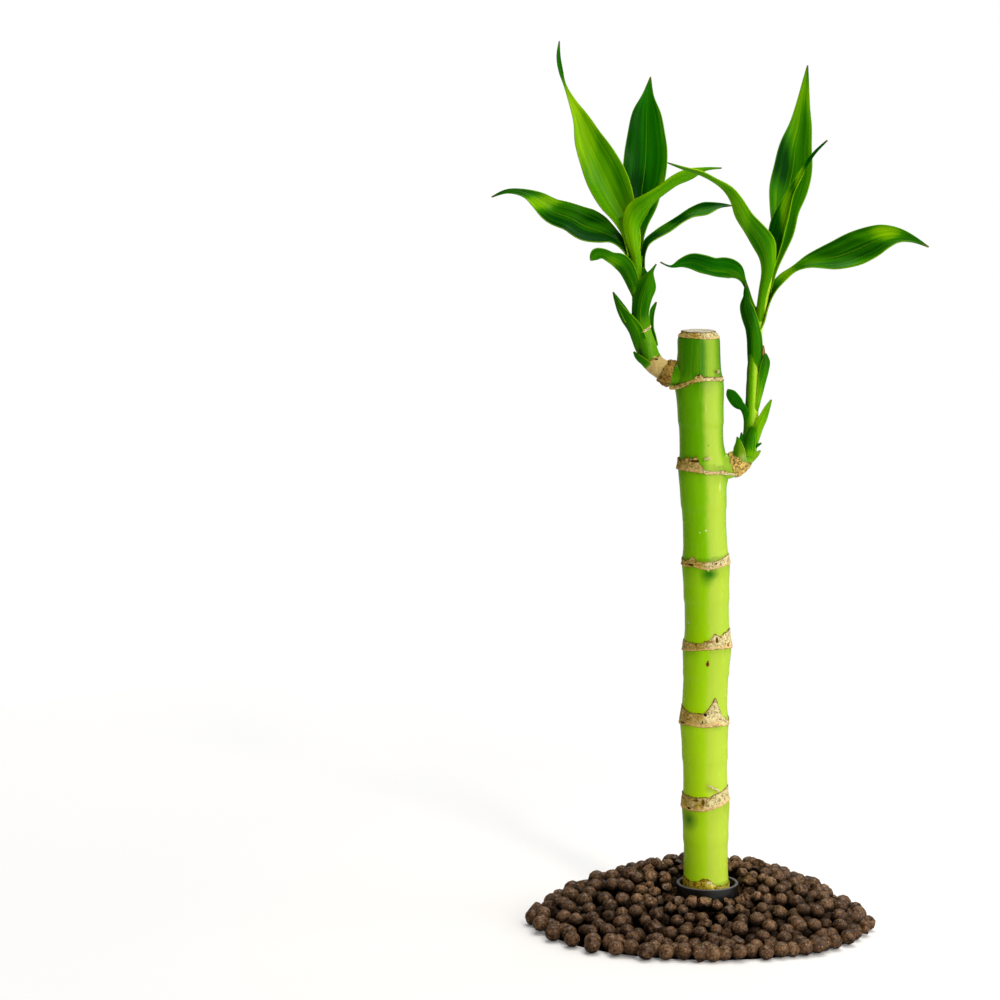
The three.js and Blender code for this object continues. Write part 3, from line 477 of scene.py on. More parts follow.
# Of these, the near-black spot at 210.6 mm is painted shade in a hole, the two brown bands at 212 mm are a
# painted shadow under a flap, and the two cream-white spots near 23 mm are painted highlights.
HUSK_MARKS_LIGHT_AND_SHADE = [
    (-6.3, -10.6, 250, 1.2, 1, 0.9, 2.5, 66, 64, 4), (-4.4, -10.6, 249.6, 1, 0.8, 0.6, 3, 84, 30, 16),
    (-2.5, -10.5, 210.6, 1, 1.2, 1.1, 4, 14, 8, 2), (-6.8, -10.4, 212.2, 3.6, 0.6, 1.1, 3, 84, 56, 4),
    (-3.4, -10.5, 212, 1.6, 0.6, 0.8, 3, 84, 56, 4), (1.8, -9.6, 207.6, 4, 0.6, 1, 1.5, 240, 208, 158),
    (-3, -10.4, 132.4, 1.5, 0.7, 0.8, 3, 96, 60, 4), (0.1, -10.5, 132.3, 2.8, 0.8, 1.1, 1.2, 156, 118, 14),
    (3.1, -9.7, 132.9, 0.7, 1.6, 1, 3, 100, 62, 4), (4.9, -8.7, 134.2, 0.6, 1.4, 0.7, 1.5, 160, 108, 40),
    (8, -5.4, 130.3, 0.8, 1.2, 0.9, 2, 168, 104, 20), (-1.6, -10.6, 99.6, 1, 1, 0.8, 4, 26, 12, 2),
    (-2.9, -10.6, 96.2, 0.8, 1.3, 0.7, 2, 110, 82, 10), (3.9, -8.9, 105, 0.7, 1.5, 0.8, 3, 96, 36, 24),
    (2.3, -9.7, 103, 0.8, 1, 0.6, 2, 120, 88, 20), (-11.5, -5, 95, 1.2, 0.5, 1.2, 2.5, 80, 60, 4),
    (-8.6, -8.4, 166.2, 1.8, 0.6, 1, 3, 84, 62, 0), (2.4, -9.8, 167, 1, 1.1, 0.7, 2, 110, 78, 6),
    (4.4, -9.2, 166.6, 0.7, 1.3, 0.6, 2, 120, 84, 10), (-8.6, -8.2, 56.8, 1.3, 0.7, 0.8, 3, 34, 20, 2),
    (-5.6, -10.4, 60.6, 1.8, 0.8, 1.1, 2, 108, 78, 0), (-2.2, -10.6, 60, 0.9, 1.7, 1, 2.5, 104, 74, 4),
    (-9.4, -7.2, 63.2, 1, 0.8, 0.8, 2, 120, 90, 10), (1, -10.5, 61.6, 1, 1, 0.7, 1.2, 150, 118, 40),
    (-2.6, -10.3, 22.6, 1, 1, 0.55, 2, 110, 60, 0), (-1.5, -10.5, 24.1, 1, 1, 0.5, 2, 110, 60, 0),
    (0, -10.6, 25, 1.6, 1, 0.5, 2, 120, 66, 0), (1.7, -10.6, 24.6, 1.4, 1, 0.5, 2, 120, 66, 0),
    (3.1, -10.6, 23.5, 1, 1, 0.5, 2, 110, 60, 0), (4.3, -10.4, 22.1, 1, 1, 0.5, 2, 110, 60, 0),
    (0.9, -10.7, 23.3, 1.6, 0.8, 0.9, 2.5, 255, 248, 190),
    (2.3, -10.7, 22.3, 1.2, 0.8, 0.6, 2, 255, 244, 170), (-9.5, -8.5, 23.6, 1.8, 0.7, 0.7, 2, 120, 76, 0),
    (-5.9, -10, 22, 2.4, 0.6, 0.6, 2, 116, 72, 0), (-4.1, -10.2, 23.4, 1.8, 0.6, 0.6, 1.6, 240, 226, 110),
]
MOSS_MARKS = [
    (1.8, -17.6, 18.8, 1, 1, 1, 3, 104, 170, 16), (1, -17.6, 18.3, 1, 1, 0.7, 3, 120, 170, 40),
]


def cane_finish():
    """Living bark: deep green near the cut, yellow-green below, with painted light and a painted highlight on
    its right side, painted shade on its left, and painted shade under each node.
    """
    skin = Finish("cane_skin", Roughness=0.3, Specular_IOR_Level=0.13)
    rise = skin.times(skin.split(skin.spot)[2], 1 / (CANE_TOP * MM))
    # The skin's own green by height, on its left in painted shade and on its right in painted light.
    painted_shade, painted_light = (skin.ramp(rise, *[(z / CANE_TOP, tone) for z, tone in side])
                    for side in (PAINTED_SHADE_SIDE, PAINTED_LIT_SIDE))
    drift = skin.mottle(size=80.0, contrast=1.8, dark=(0.92, 0.96, 0.9, 1))["Colour"]
    skin.tone = skin.blend(1.0, skin.blend(skin.read("lit_side_paint"), painted_shade, painted_light), drift, "MULTIPLY")
    # Painted shade under the nodes.
    skin.paint(skin.read("node_shade_paint"), (30, 100, 0))
    fibres = skin.pattern(FIBRES, Size=900.0, Length=0.04)["Height"]
    skin.paint(skin.ramp(fibres, (0.5, 0.0), (0.8, 0.2)), (206, 228, 60))
    skin.dot((226, 238, 150), 0.3, Size=130.0, Share=0.05, Radius=0.08)
    skin.dot((70, 104, 0), 0.35, Size=210.0, Share=0.03, Radius=0.1)
    skin.mark(CANE_MARKS_AND_GLINTS)
    wear = skin.mottle(size=220.0, contrast=1.5)["Value"]
    return skin.done(fibres, distance=0.00006, strength=0.4, roughness=skin.fit(wear, 0.12, 0.2))


def shoot_finish():
    """Young green skin with painted shade at the left and painted light at the right, with the dry skin and
    brown rings of the old sheaths.
    """
    skin = Finish("shoot_skin", Roughness=0.32, Specular_IOR_Level=0.1)
    fresh = skin.mottle(size=90.0, contrast=1.5, light=(84, 156, 0), dark=(48, 122, 0))["Colour"]
    fibres = skin.pattern(FIBRES, Size=1100.0, Length=0.06)["Height"]
    # Painted light and shade across the stem, from dark at the left to pale at the right.
    lit = skin.ramp(skin.read("lit_side_paint"), (0.0, (30, 104, 0)), (0.4, (118, 190, 0)),
                    (1.0, (216, 252, 60)))
    skin.tone = skin.blend(0.1, lit, fresh)
    skin.paint(skin.ramp(fibres, (0.45, 0.0), (0.8, 0.5)), (170, 214, 40), 0.5)
    dry = skin.read("dry_skin")
    husk = skin.mottle(size=260.0, contrast=2.0, light=(220, 196, 130), dark=(178, 152, 80))["Colour"]
    skin.paint(dry, skin.blend(skin.ramp(fibres, (0.42, 0.0), (0.7, 0.6)), husk, (150, 120, 60)))
    skin.mark(STEM_MARKS_AND_SHADE)
    skin.paint(skin.read("brown_ring"), (120, 78, 34))
    return skin.done(fibres, distance=0.0002, strength=0.6, roughness=skin.fit(dry, 0.3, 0.34))


def leaf_finish(name, deep, body, bright, rim, gloss=0.3):
    """A glossy blade in three greens, lighter and darker by patches of painted light and shade, with soft
    bands along it, thin pale margins and a dry tip.
    """
    blade = Finish(name, Roughness=gloss, Specular_IOR_Level=0.025)
    own = blade.add("UVMap", uv_map="UVMap")[0]
    broad = blade.read("breadth")
    rib = blade.use(VEINS, Vector=own, Breadth=broad)
    drift = blade.vector("MULTIPLY", own, (1.5, 0.4, 1.0))
    sway = blade.vector("MULTIPLY_ADD", blade.spot, (12, 12, 12), drift)
    patches = blade.use(MOTTLE, Vector=sway, Size=2.2, Contrast=1.6)["Value"]
    # The blade's painted light and shade, with soft patches over it.
    level = blade.fit(patches, 0.24, blade.centred(blade.read("leaf_light"), 0.27))
    level = blade.fit(rib["Veins"], 0.2, level)
    blade.tone = blade.ramp(level, (0.0, deep), (0.5, body), (1.0, bright))
    blade.paint(blade.ramp(rib["Along"], (0.0, 0.85), (0.22, 0.0)), (98, 160, 2))
    wide = blade.ramp(broad, (0.12, 0.0), (0.3, 0.75))
    for line in ("Midrib", "Margin"):
        blade.paint(blade.times(rib[line], wide), rim)
    blade.dot((190, 210, 40), 0.6, Size=150.0, Share=0.02, Radius=0.1)
    blade.paint(blade.ramp(rib["Along"], (0.955, 0.0), (1.0, 0.9)), (110, 104, 40))
    return blade.done(rib["Height"], distance=0.0001, strength=0.6,
                      roughness=blade.fit(patches, 0.14, gloss - 0.07))


def husk_finish(name, pale, dull, crease_shade_and_edge, rim, size, depth):
    """Dry papery husk: paler on the side that gets painted light, wrinkled, with painted shade in its folds
    and wrinkles, dark torn edges and a raised lower rim.
    """
    husk = Finish(name, Roughness=0.7, Specular_IOR_Level=0.02)
    clouds = husk.mottle(size=260.0, contrast=2.6)["Value"]
    # Painted light on one side, over soft clouds of the husk's own tone.
    lit_paint_and_clouds = husk.fit(husk.read("lit_side_paint"), 0.7, husk.times(clouds, 0.5))
    husk.tone = husk.ramp(lit_paint_and_clouds, (0.0, dull), (0.85, pale))
    folds = husk.pattern(FOLDS, Size=size / 2, Folds=5.0)
    husk.paint(folds["Fold_shade"], crease_shade_and_edge, 0.75)
    wrinkles = husk.pattern(CRINKLE, Size=size, Twist=1.4)
    husk.paint(wrinkles["Groove_shade"], crease_shade_and_edge, 0.4)
    husk.paint(husk.read("lower_rim"), rim, 0.6)
    husk.paint(husk.read("torn_edge"), crease_shade_and_edge)
    husk.mark(HUSK_MARKS_LIGHT_AND_SHADE)
    height = husk.fit(folds["Height"], 0.8, wrinkles["Height"])
    return husk.done(height, distance=depth, strength=0.9)


def wax_finish():
    wax = Finish("sealing_wax", Roughness=0.5)
    film = wax.mottle(size=260.0, contrast=2.0, light=(214, 205, 182), dark=(150, 140, 116))
    wax.tone = film["Colour"]
    wax.dot((120, 104, 80), 0.5, Size=600.0, Share=0.12, Radius=0.25)
    return wax.done(film["Value"], distance=0.0004, strength=0.6)


def cup_finish():
    """Black moulded plastic, dusty, and grey where its lip catches the light."""
    cup = Finish("moulded_black", Roughness=0.38)
    dust = cup.mottle(size=180.0, contrast=2.2, light=(18, 17, 14), dark=(6, 6, 4))
    cup.tone = dust["Colour"]
    rise = cup.times(cup.split(cup.spot)[2], 1 / (CUP_HEIGHT * MM))
    cup.paint(cup.ramp(rise, (0.984, 0.0), (0.997, 1.0)), (96, 93, 94))
    grain = cup.pattern(CRINKLE, Size=1500.0, Twist=0.0)["Height"]
    return cup.done(grain, distance=0.00006, strength=0.4, roughness=cup.fit(dust["Value"], 0.2, 0.3))


def soil_finish():
    soil = Finish("cup_compost", Roughness=0.9)
    crumbs = soil.pattern(CRINKLE, Size=500.0, Twist=0.8)
    soil.tone = soil.mottle(size=420.0, contrast=2.5, light=(92, 66, 44), dark=(38, 26, 18))["Colour"]
    # Painted shade in the grooves between the crumbs.
    soil.paint(crumbs["Groove_shade"], (16, 11, 8))
    return soil.done(crumbs["Height"], distance=0.001, strength=0.9)


def pellet_finish(name, sheen):
    """Burnt clay: each pellet has its own tone, with pits, a dusty bloom and a sheen; painted shade darkens
    the gaps, the lower side of each pellet, the pits and the creases.
    """
    clay = Finish(name, Roughness=0.4, Specular_IOR_Level=0.3 * sheen, Coat_Roughness=0.2)
    clay.tone = clay.mottle(size=480.0, contrast=3.0, light=(134, 98, 66), dark=(54, 35, 20))["Colour"]
    clay.paint(clay.read("clay_tone"), (176, 134, 94))
    clay.paint(clay.pattern(FOLDS, Size=300.0, Folds=6.0)["Fold_shade"], (20, 12, 6), 0.6)
    pits = clay.pattern(CRINKLE, Size=600.0, Twist=1.2)
    clay.paint(pits["Groove_shade"], (10, 6, 3), 0.85)
    clay.dot((190, 156, 116), 0.6, Size=700.0, Share=0.14, Radius=0.32)
    clay.mark(MOSS_MARKS, depth=1)
    # Painted shade in the gaps and under each pellet.
    gap = clay.read("gap_shade")
    clay.paint(gap, (2, 1, 0))
    clay.put(clay.times(clay.inverse(gap), sheen), clay.shader["Coat Weight"])
    return clay.done(pits["Height"], distance=0.0007, strength=0.9, roughness=clay.fit(gap, 0.4, 0.5))


def floor_finish():
    """White paper that glows of its own further out, so it meets the white wall without an edge."""
    paper = Finish("studio_floor", Roughness=0.8, Specular_IOR_Level=0.1, Emission_Strength=1.0)
    sheet = paper.mottle(size=3.0, contrast=0.6, light=(241, 240, 238), dark=(238, 237, 235))["Colour"]
    away = paper.length(paper.spot)
    dimmer = paper.ramp(away, (0.12, 1.0), (0.3, 0.4))
    paper.put(paper.blend(1.0, sheet, dimmer, "MULTIPLY"), paper.shader["Base Color"])
    glow = paper.ramp(away, (0.0, 0.1), (0.12, 0.12), (0.3, 0.645), (0.6, 0.72))
    paper.put(glow, paper.shader["Emission Color"])
    return paper.material


# ---------------------------- camera, floor and light

FLOOR_RADIUS = 0.6
# Of the camera: its place in metres, its tilt and turn in degrees, its lens and sensor in mm.
CAMERA_PLACE = (0, -1.33, 0.392)
CAMERA_TILT, CAMERA_TURN = 81.5, 4
CAMERA_LENS, CAMERA_SENSOR = 110, 36
# Name, place, what it points at, size in metres, power in watts and tint.
LAMPS = [
    ("key_softbox", (0.82, -0.57, 0.42), (0, 0, 0.2), (1.8, 0.9), 12, (1, 1, 1)),
    ("overhead_softbox", (0.1, 0.3, 1.2), (0, 0, 0.1), (1.0, 0.8), 12, (1, 1, 1)),
    ("glint_lamp", (0.42, -0.75, 1.0), (0, 0, 0.03), (0.12, 0.12), 4, (1, 0.88, 0.76)),
]


def place_camera():
    turned = (math.radians(CAMERA_TILT), 0, math.radians(CAMERA_TURN))
    bpy.ops.object.camera_add(location=CAMERA_PLACE, rotation=turned)
    camera = bpy.context.object
    camera.name = "studio_camera"
    camera.data.lens, camera.data.sensor_width = CAMERA_LENS, CAMERA_SENSOR
    bpy.context.scene.camera = camera


def place_light(name, place, aim, size, power, tint):
    bpy.ops.object.light_add(type="AREA", location=place)
    lamp = bpy.context.object
    lamp.name = name
    lamp.data.shape = "RECTANGLE"
    lamp.data.size, lamp.data.size_y = size
    lamp.data.energy, lamp.data.color = power, tint
    lamp.rotation_euler = (Vector(aim) - Vector(place)).to_track_quat("-Z", "Y").to_euler()


def light_the_studio():
    """A dim room with a white wall behind, a wide softbox at the right, one overhead and a lamp."""
    scene = bpy.context.scene
    scene.view_settings.view_transform = "Standard"
    scene.world = bpy.data.worlds.new("studio_white")
    scene.world.use_nodes = True
    room = Nodes(scene.world.node_tree)
    behind = room.fit(room.split(room.add("TexCoord")["Generated"])[1], 0.5, 0.5)
    walls = room.ramp(behind, (0.0, 0.06), (0.5, 0.08), (0.75, 0.16), (1.0, 0.3))
    seen = room.add("LightPath")["Is Camera Ray"]
    room.put(room.blend(seen, walls, WHITE), room.tree.nodes["Background"].inputs["Color"])
    for lamp in LAMPS:
        place_light(*lamp)


# ---------------------------- cane

CANE_TOP = 267.6
CANE_FOOT = 2.4
CANE_BLANK = 9.9  # radius of the blank that the cane is drawn up from
CANE_SIDES = 56
RING_STEP = 1.6
CANE_RINGS = 164
CANE_LEAN = [(0, -0.4), (60, -1.2), (97, -2.2), (131, -1.1), (168, -2.2), (210, -4.15), (242, -5.5),
             (268, -6.35)]
NODE_SWELLING = [(-12, 0.35), (-4, 0.9), (-1, 0.85), (0.5, 0.5), (4, 0.05), (11, -0.05)]
NODE_HEIGHTS = [22, 60, 97.6, 131, 168.5, 210, 247]
NODE_REACH = (-20, 17)
FOOT_SWELLING = 0.5
# Radius in the internodes, by height, and round the edge of the cut.
CANE_GIRTH = [(0, 9.9), (70, 9.8), (108, 10), (122, 9.9), (145, 9.8), (184, 9.6), (197, 9.9), (222, 9.6),
              (238, 9.8), (248, 9.6), (254, 9.4), (264, 9.35)]
CUT_EDGE = [(264, 9.2), (265.8, 8.9), (266.9, 8.2), (CANE_TOP, 7.4)]
# Where each shoot leaves the cane: height, angle from the front, bulge.
SHOOT_BULGES = [(249, -90, 0.7), (209, 90, 1.1)]
BULGE_WIDTH = 6
BULGE_TURN = 0.75  # how far a bulge reaches round the cane, in radians
BULGE_SHELLS = 6  # a bulge is pushed out in shells, each smaller than the last
SHELL_REACH, SHELL_STEP = 1.55, 0.22
# Degrees from the front towards the right where the side in painted light begins and where it fades, by
# height.
LIT_PAINT_FROM = [(0, -4), (160, -1), (200, 3), (246, 3), (249, 12), (268, 12)]
LIT_PAINT_TO = [(0, 75), (165, 70), (200, 44), (268, 34)]
# How each node's line climbs to the right over the cane's half width, and how far the painted
# shade under it reaches down from it, in mm, from the foot up.
NODE_LINES = [(0, 4), (3.2, 12), (-0.6, 6), (1, 7), (0.4, 11), (-1, 9), (2.6, 7)]


def node_swelling(height):
    for index, node in enumerate(NODE_HEIGHTS):
        if NODE_REACH[0] <= height - node <= NODE_REACH[1]:
            return level_between(NODE_SWELLING, height - node) * (1 if index else FOOT_SWELLING)
    return 0


def plain_radius(height):
    if height > CUT_EDGE[0][0]:
        return level_between(CUT_EDGE, height)
    return level_between(CANE_GIRTH, height) + node_swelling(height)


def cane_middle(height):
    return Vector((level_between(CANE_LEAN, height), 0, height))


def facing(angle):
    """The way out of the cane at an angle, which runs from the front towards the right."""
    return Vector((math.sin(math.radians(angle)), -math.cos(math.radians(angle)), 0))


def cane_point(height, angle, extra):
    """A place over the cane's skin, in mm."""
    radius = plain_radius(height)
    if height <= CUT_EDGE[0][0]:
        for middle, side, bulge in SHOOT_BULGES:
            towards = max(0, math.cos(math.radians(angle - side)))
            radius += bulge * towards ** 3 * math.exp(-((height - middle) / BULGE_WIDTH) ** 2)
    return cane_middle(height) + (radius + extra) * facing(angle)


def angle_on_cane(place):
    offset = place / MM - cane_middle(place.z / MM)
    return math.degrees(math.atan2(offset.x, -offset.y))


def make_cane():
    """A round blank, drawn up ring by ring; each ring is sized and set over the last."""
    heights = [CANE_FOOT + RING_STEP * k for k in range(CANE_RINGS)] + [row[0] for row in CUT_EDGE]
    rings = [(cane_middle(height) * MM, plain_radius(height), 0) for height in heights]
    rings[0] = (rings[0][0], CANE_BLANK, 0)
    cane = new_ring("cane_stalk", CANE_SIDES, CANE_BLANK * MM, rings[0][0])
    draw_rings(rings)
    for middle, side, bulge in SHOOT_BULGES:
        for shell in range(BULGE_SHELLS):
            reach = SHELL_REACH - SHELL_STEP * shell

            def within(place):
                offset = place / MM - cane_middle(middle)
                turned = math.acos(max(-1, min(1, offset.xy.normalized().dot(facing(side).xy))))
                return math.hypot(offset.z / BULGE_WIDTH, turned / BULGE_TURN) < reach
            pick_points(cane, within)
            move(facing(side) * (bulge / BULGE_SHELLS) * MM)
    mend_normals(cane)
    finish_surface(cane, 1, (0.03, 0.00012, 3))

    # Painted shade under each node, fading down from its line.
    def node_shade_paint(place):
        height, x = place.z / MM, place.x / MM - level_between(CANE_LEAN, place.z / MM)
        depth = 0.0
        for (climb, drop), node in zip(NODE_LINES, NODE_HEIGHTS):
            below = node + climb * x / 10 - height
            if -1 < below < drop:
                patch = 0.55 + 0.9 * noise.noise(Vector((place.x * 160, place.y * 160, node)))
                depth = max(depth, (1 - max(below, 0) / drop) * max(patch, 0.2) * 0.55)
        return depth

    # Painted light over the right side of the cane, and a thin painted rim of light at its left edge.
    def lit_side_paint(place):
        angle = angle_on_cane(place)
        ragged = 5 * noise.noise(Vector((2.0, 5.0, place.z * 45))) + 2.5 * noise.noise(place * 300)
        start, rim = (level_between(rows, place.z / MM) for rows in (LIT_PAINT_FROM, LIT_PAINT_TO))
        lit = smooth_step(start - 3, start + 16, angle + ragged) * smooth_step(rim + 45, rim, angle)
        return max(lit, 0.5 * smooth_step(-62, -72, angle) * smooth_step(-120, -90, angle))
    paint_points(cane, "node_shade_paint", node_shade_paint)
    paint_points(cane, "lit_side_paint", lit_side_paint)
    return cane


# ---------------------------- sheath scars

SCAR_STEPS = 120
SCAR_THICKNESS = 0.5
# How far a scar stands off the cane, in mm: its plain skin, its lower lip and its folds, and the limits.
SCAR_LIFT, SCAR_LIP, SCAR_FOLD = 0.16, 0.28, 0.34
LEAST_LIFT, MOST_LIFT, MOST_LIFT_AT_TOP = 0.08, 0.55, 0.2
BOTTOM_NICK, TOP_NICK = 0.12, 0.22
SCAR_RISE = [0, 0.04, 0.1, 0.3, 0.5, 0.7, 0.9, 0.97, 1]  # rings of a scar, from its bottom edge up
# Torn edges of the old sheaths: angle from the front, bottom height, top height.
SCARS = {
    "scar_top": [(-90, 265.9, 268), (-60, 265.8, 268), (-30, 265.7, 268), (-14, 265.7, 268), (0, 265.5, 268),
        (20, 265.2, 268), (45, 265.1, 268), (90, 265.2, 268), (180, 265.4, 268)],
    "scar_1": [(-80, 242.6, 244.6), (-40, 244.3, 246.2), (-14, 246.5, 248.2), (-6, 246.8, 249.8),
        (2, 247.1, 250.4), (10, 247.3, 248.8), (45, 247.2, 248.6), (62, 247, 248.4), (90, 246.6, 248.4),
        (180, 245.4, 247.4), (235, 243.4, 245.4)],
    "scar_2": [(-80, 207.6, 212.6), (-62, 207.6, 211.4), (-50, 207.8, 213), (-32, 207.6, 213.8),
        (-22, 207.4, 213.2), (-12, 207.2, 214.6), (-4, 206.9, 211.4), (4, 206.9, 208.6), (20, 206.6, 207.8),
        (70, 206.2, 207.6), (120, 206.4, 209), (180, 207, 210.5), (235, 207.4, 212)],
    "scar_3": [(-78, 165.2, 168.6), (-55, 164.8, 167.6), (-42, 165.2, 168.6), (-34, 165.6, 170.2),
        (-22, 165.2, 168.2), (-8, 164.6, 167.8), (5, 164.3, 168), (30, 165, 168.2), (50, 165.4, 169.4),
        (75, 165.8, 170.4), (130, 166, 169), (180, 165.5, 168.5), (230, 165, 168)],
    "scar_4": [(-80, 126.8, 131.6), (-45, 127.6, 131.4), (-14, 128.4, 131.6), (0, 128.7, 132.8),
        (12, 128.8, 134.2), (20, 128.9, 135.8), (32, 128.8, 134.6), (50, 128.6, 135.8), (80, 128, 137.2),
        (130, 128, 134), (180, 128, 132.5), (235, 127.2, 131.5)],
    "scar_5": [(-78, 93.6, 102.4), (-58, 93.8, 101.2), (-40, 94.3, 100.2), (-18, 94, 100), (0, 93.7, 100.2),
        (8, 93.8, 101.6), (18, 93.9, 104.4), (28, 94, 107.6), (36, 94, 103.8), (48, 94, 98.8),
        (75, 93.7, 95.4), (120, 93.6, 98), (180, 94, 99.5), (235, 93.8, 101)],
    "scar_6": [(-78, 55.8, 62.4), (-45, 55.6, 62.2), (-18, 55.8, 61.8), (-4, 56, 62.4), (8, 56.2, 62),
        (22, 57, 63.4), (42, 57.8, 64.2), (70, 59, 65.6), (88, 59.4, 66), (130, 58.6, 64), (180, 57, 63),
        (235, 56, 62.5)],
    "scar_7": [(-78, 17.9, 24.8), (-56, 17.8, 24), (-41, 17.8, 23.4), (-26, 17.8, 23.4), (-16, 17.8, 24.2),
        (-7, 17.8, 25), (3, 17.8, 25.2), (13, 17.8, 24.5), (20, 17.8, 23), (31, 17.8, 21.7), (54, 17.8, 21.4),
        (85, 17.8, 21.5), (140, 18, 22.5), (200, 18, 24), (250, 18, 24.2)],
}


def make_scar(node, edge, seed):
    """A band drawn up from a ring; its points are then set along the torn outline."""
    chance = random.Random(seed)
    band = new_ring(node.replace("scar", "sheath_scar"), SCAR_STEPS, 1, (0, 0, BENCH), fill="NOTHING")
    for below, above in zip(SCAR_RISE, SCAR_RISE[1:]):
        draw_up((0, 0, above - below))
    clear_bench()
    edge = edge + [(edge[0][0] + 360, *edge[0][1:])]
    nicks = [chance.uniform(-1, 1) for _ in range(SCAR_STEPS)]
    most = MOST_LIFT_AT_TOP if node == "scar_top" else MOST_LIFT
    torn, rims = [], []
    for point in band.data.vertices:
        rise = point.co.z - BENCH
        angle = math.degrees(math.atan2(point.co.x, -point.co.y))
        if angle < edge[0][0]:
            angle += 360
        nick = nicks[int(round(angle / 360 * SCAR_STEPS)) % SCAR_STEPS]
        bottom = level_between(edge, angle, 1) + BOTTOM_NICK * nick
        top = level_between(edge, angle, 2) + TOP_NICK * nick
        fold = SCAR_FOLD * noise.noise(Vector((angle / 8, rise * 3, seed)))
        lift = SCAR_LIFT + 0.12 * rise ** 4 + SCAR_LIP * smooth_step(0.2, 0.06, rise) + fold
        lift = min(max(lift, LEAST_LIFT), most)
        point.co = cane_point(bottom + (top - bottom) * rise, angle, lift) * MM
        rims.append(smooth_step(0.2, 0.08, rise) * smooth_step(0.0, 0.06, rise))
        edges = max(smooth_step(0.88, 1.0, rise), smooth_step(0.05, 0.0, rise))
        torn.append(min(max(edges * (0.85 + 0.3 * nick), 0), 1))
    store(band.data, "torn_edge", torn)
    store(band.data, "lower_rim", rims)
    mend_normals(band)
    paint_husk_light(band)
    apply_modifier(band, "SOLIDIFY", thickness=SCAR_THICKNESS * MM, offset=-1)
    return finish_surface(band, 1, (0.0014, 0.0005, 11 + seed))


def paint_husk_light(piece):
    """Marks the side of a husk round the cane that is painted in light."""
    def lit_side_paint(place):
        angle = angle_on_cane(place)
        return smooth_step(-14, 24, angle + 12 * noise.noise(place * 500)) * smooth_step(150, 90, angle)
    paint_points(piece, "lit_side_paint", lit_side_paint)


# ---------------------------- shoots

# Middle line and radius of each stem, from inside the cane to the tip: x, z, radius.
STEMS = {
    "left": [(-11, 247.6, 5.4), (-13, 248, 5.2), (-18, 249.3, 4.9), (-22.5, 251.4, 4.6), (-26.5, 255, 4.4),
        (-29, 262, 4.2), (-31, 270.5, 3.5), (-32, 279, 3.1), (-33, 288, 2.7), (-34.3, 298, 2.3),
        (-35, 306, 1.6)],
    "right": [(2, 208.4, 5.5), (4, 208.6, 5.4), (9, 209.3, 5.2), (13, 211.8, 4.8), (15.5, 216, 4.1),
        (16.5, 222, 3.3), (17.2, 232, 3.1), (17.5, 242.5, 2.9), (17.8, 253.5, 2.7), (18.6, 263, 2.5),
        (19.6, 272, 2.3), (21.3, 280, 2.1), (23, 288, 1.9), (24.2, 294, 1.4)],
}
STEM_RINGS = 56
STEM_SIDES = 20
SEAM_STEP = 0.22  # each sheath ends in a low step, in mm
# How much painted light each stem gets on its right side, and as shares of its line, where its dry skin ends
# and its rings are.
STEM_PAINTED_LIGHT = {"left": 0.27, "right": 1.0}
STEM_DRY = {"left": 0.41, "right": 0.25}
STEM_SEAMS = {"left": [0.41, 0.5, 0.62, 0.74], "right": [0.25, 0.33, 0.45, 0.6, 0.72, 0.84]}
# Sleeves round the foot of each shoot: the green neck that the cane grows towards it, and the rough
# bark over its end. Each has the stem it is on, how rough it is and how much painted light it gets, and
# its rings at a share of the stem's line with their thickness in mm.
SLEEVES = {
    "left_shoot_neck": ("left", 0.1, 0.0, [(0.0, 1.8), (0.1, 1.1), (0.17, 0.5), (0.2, 0.2)]),
    "right_shoot_neck": ("right", 0.1, 0.65, [(0.0, 1.6), (0.07, 0.9), (0.13, 0.3), (0.16, 0.1)]),
    "left_bark_collar": ("left", 1.0, 0.0, [(0.185, 0.6), (0.205, 1.2), (0.245, 1.0), (0.285, 0.4)]),
    "right_bark_collar": ("right", 0.9, 1.0, [(0.15, 0.3), (0.17, 0.8), (0.205, 0.5), (0.24, 0.2)]),
}
SLEEVE_STEPS, SLEEVE_SIDES, SLEEVE_THICKNESS = 14, 48, 0.9
# Small things that grow on the nodes: the node they belong to, and a line of x, y, z, radius in mm.
BUDS = {
    "node_bud_upper": ("scar_1", [(2.3, -6.2, 251, 0.3), (2.35, -6.9, 251.1, 0.85), (2.4, -7.6, 251.3, 0.8),
        (2.45, -8, 251.4, 0.3)]),
    "node_bud_lower": ("scar_3", [(-1, -9.6, 165, 0.3), (-1.1, -10.4, 164.6, 0.6), (-1.1, -11, 164.2, 0.5),
        (-1.1, -11.3, 164, 0.2)]),
    "husk_line_left": ("scar_1", [(-11.5, -8.2, 245, 0.5), (-13.6, -6.8, 244.4, 0.8), (-16, -5.6, 243.9, 1),
        (-18.6, -4.4, 243.6, 0.9)]),
    "husk_line_right": ("scar_2", [(3.6, -8, 206.5, 0.4), (5.6, -7.2, 206.4, 0.55), (7.6, -5.9, 206.2, 0.6),
        (9.6, -5.2, 205.8, 0.7), (10.8, -4.8, 205.4, 0.8)]),
    "husk_curl": ("scar_6", [(4.9, -9, 64.6, 0.3), (4.4, -9.6, 65.4, 0.55), (3.2, -10.3, 66.2, 0.5),
        (1.6, -10.9, 66.9, 0.45), (0.4, -11.1, 67.6, 0.45), (-0.2, -11.2, 68, 0.2)]),
    "husk_flap": ("scar_2", [(-0.2, -10.2, 213, 0.2), (-1, -10.6, 213.4, 0.5), (-2, -10.9, 213.8, 0.6),
        (-3.2, -10.9, 213.2, 0.4), (-3.8, -10.6, 212.8, 0.2)]),
}
BUD_STEPS, BUD_SIDES, BUD_LEAST_RADIUS = 12, 10, 0.12


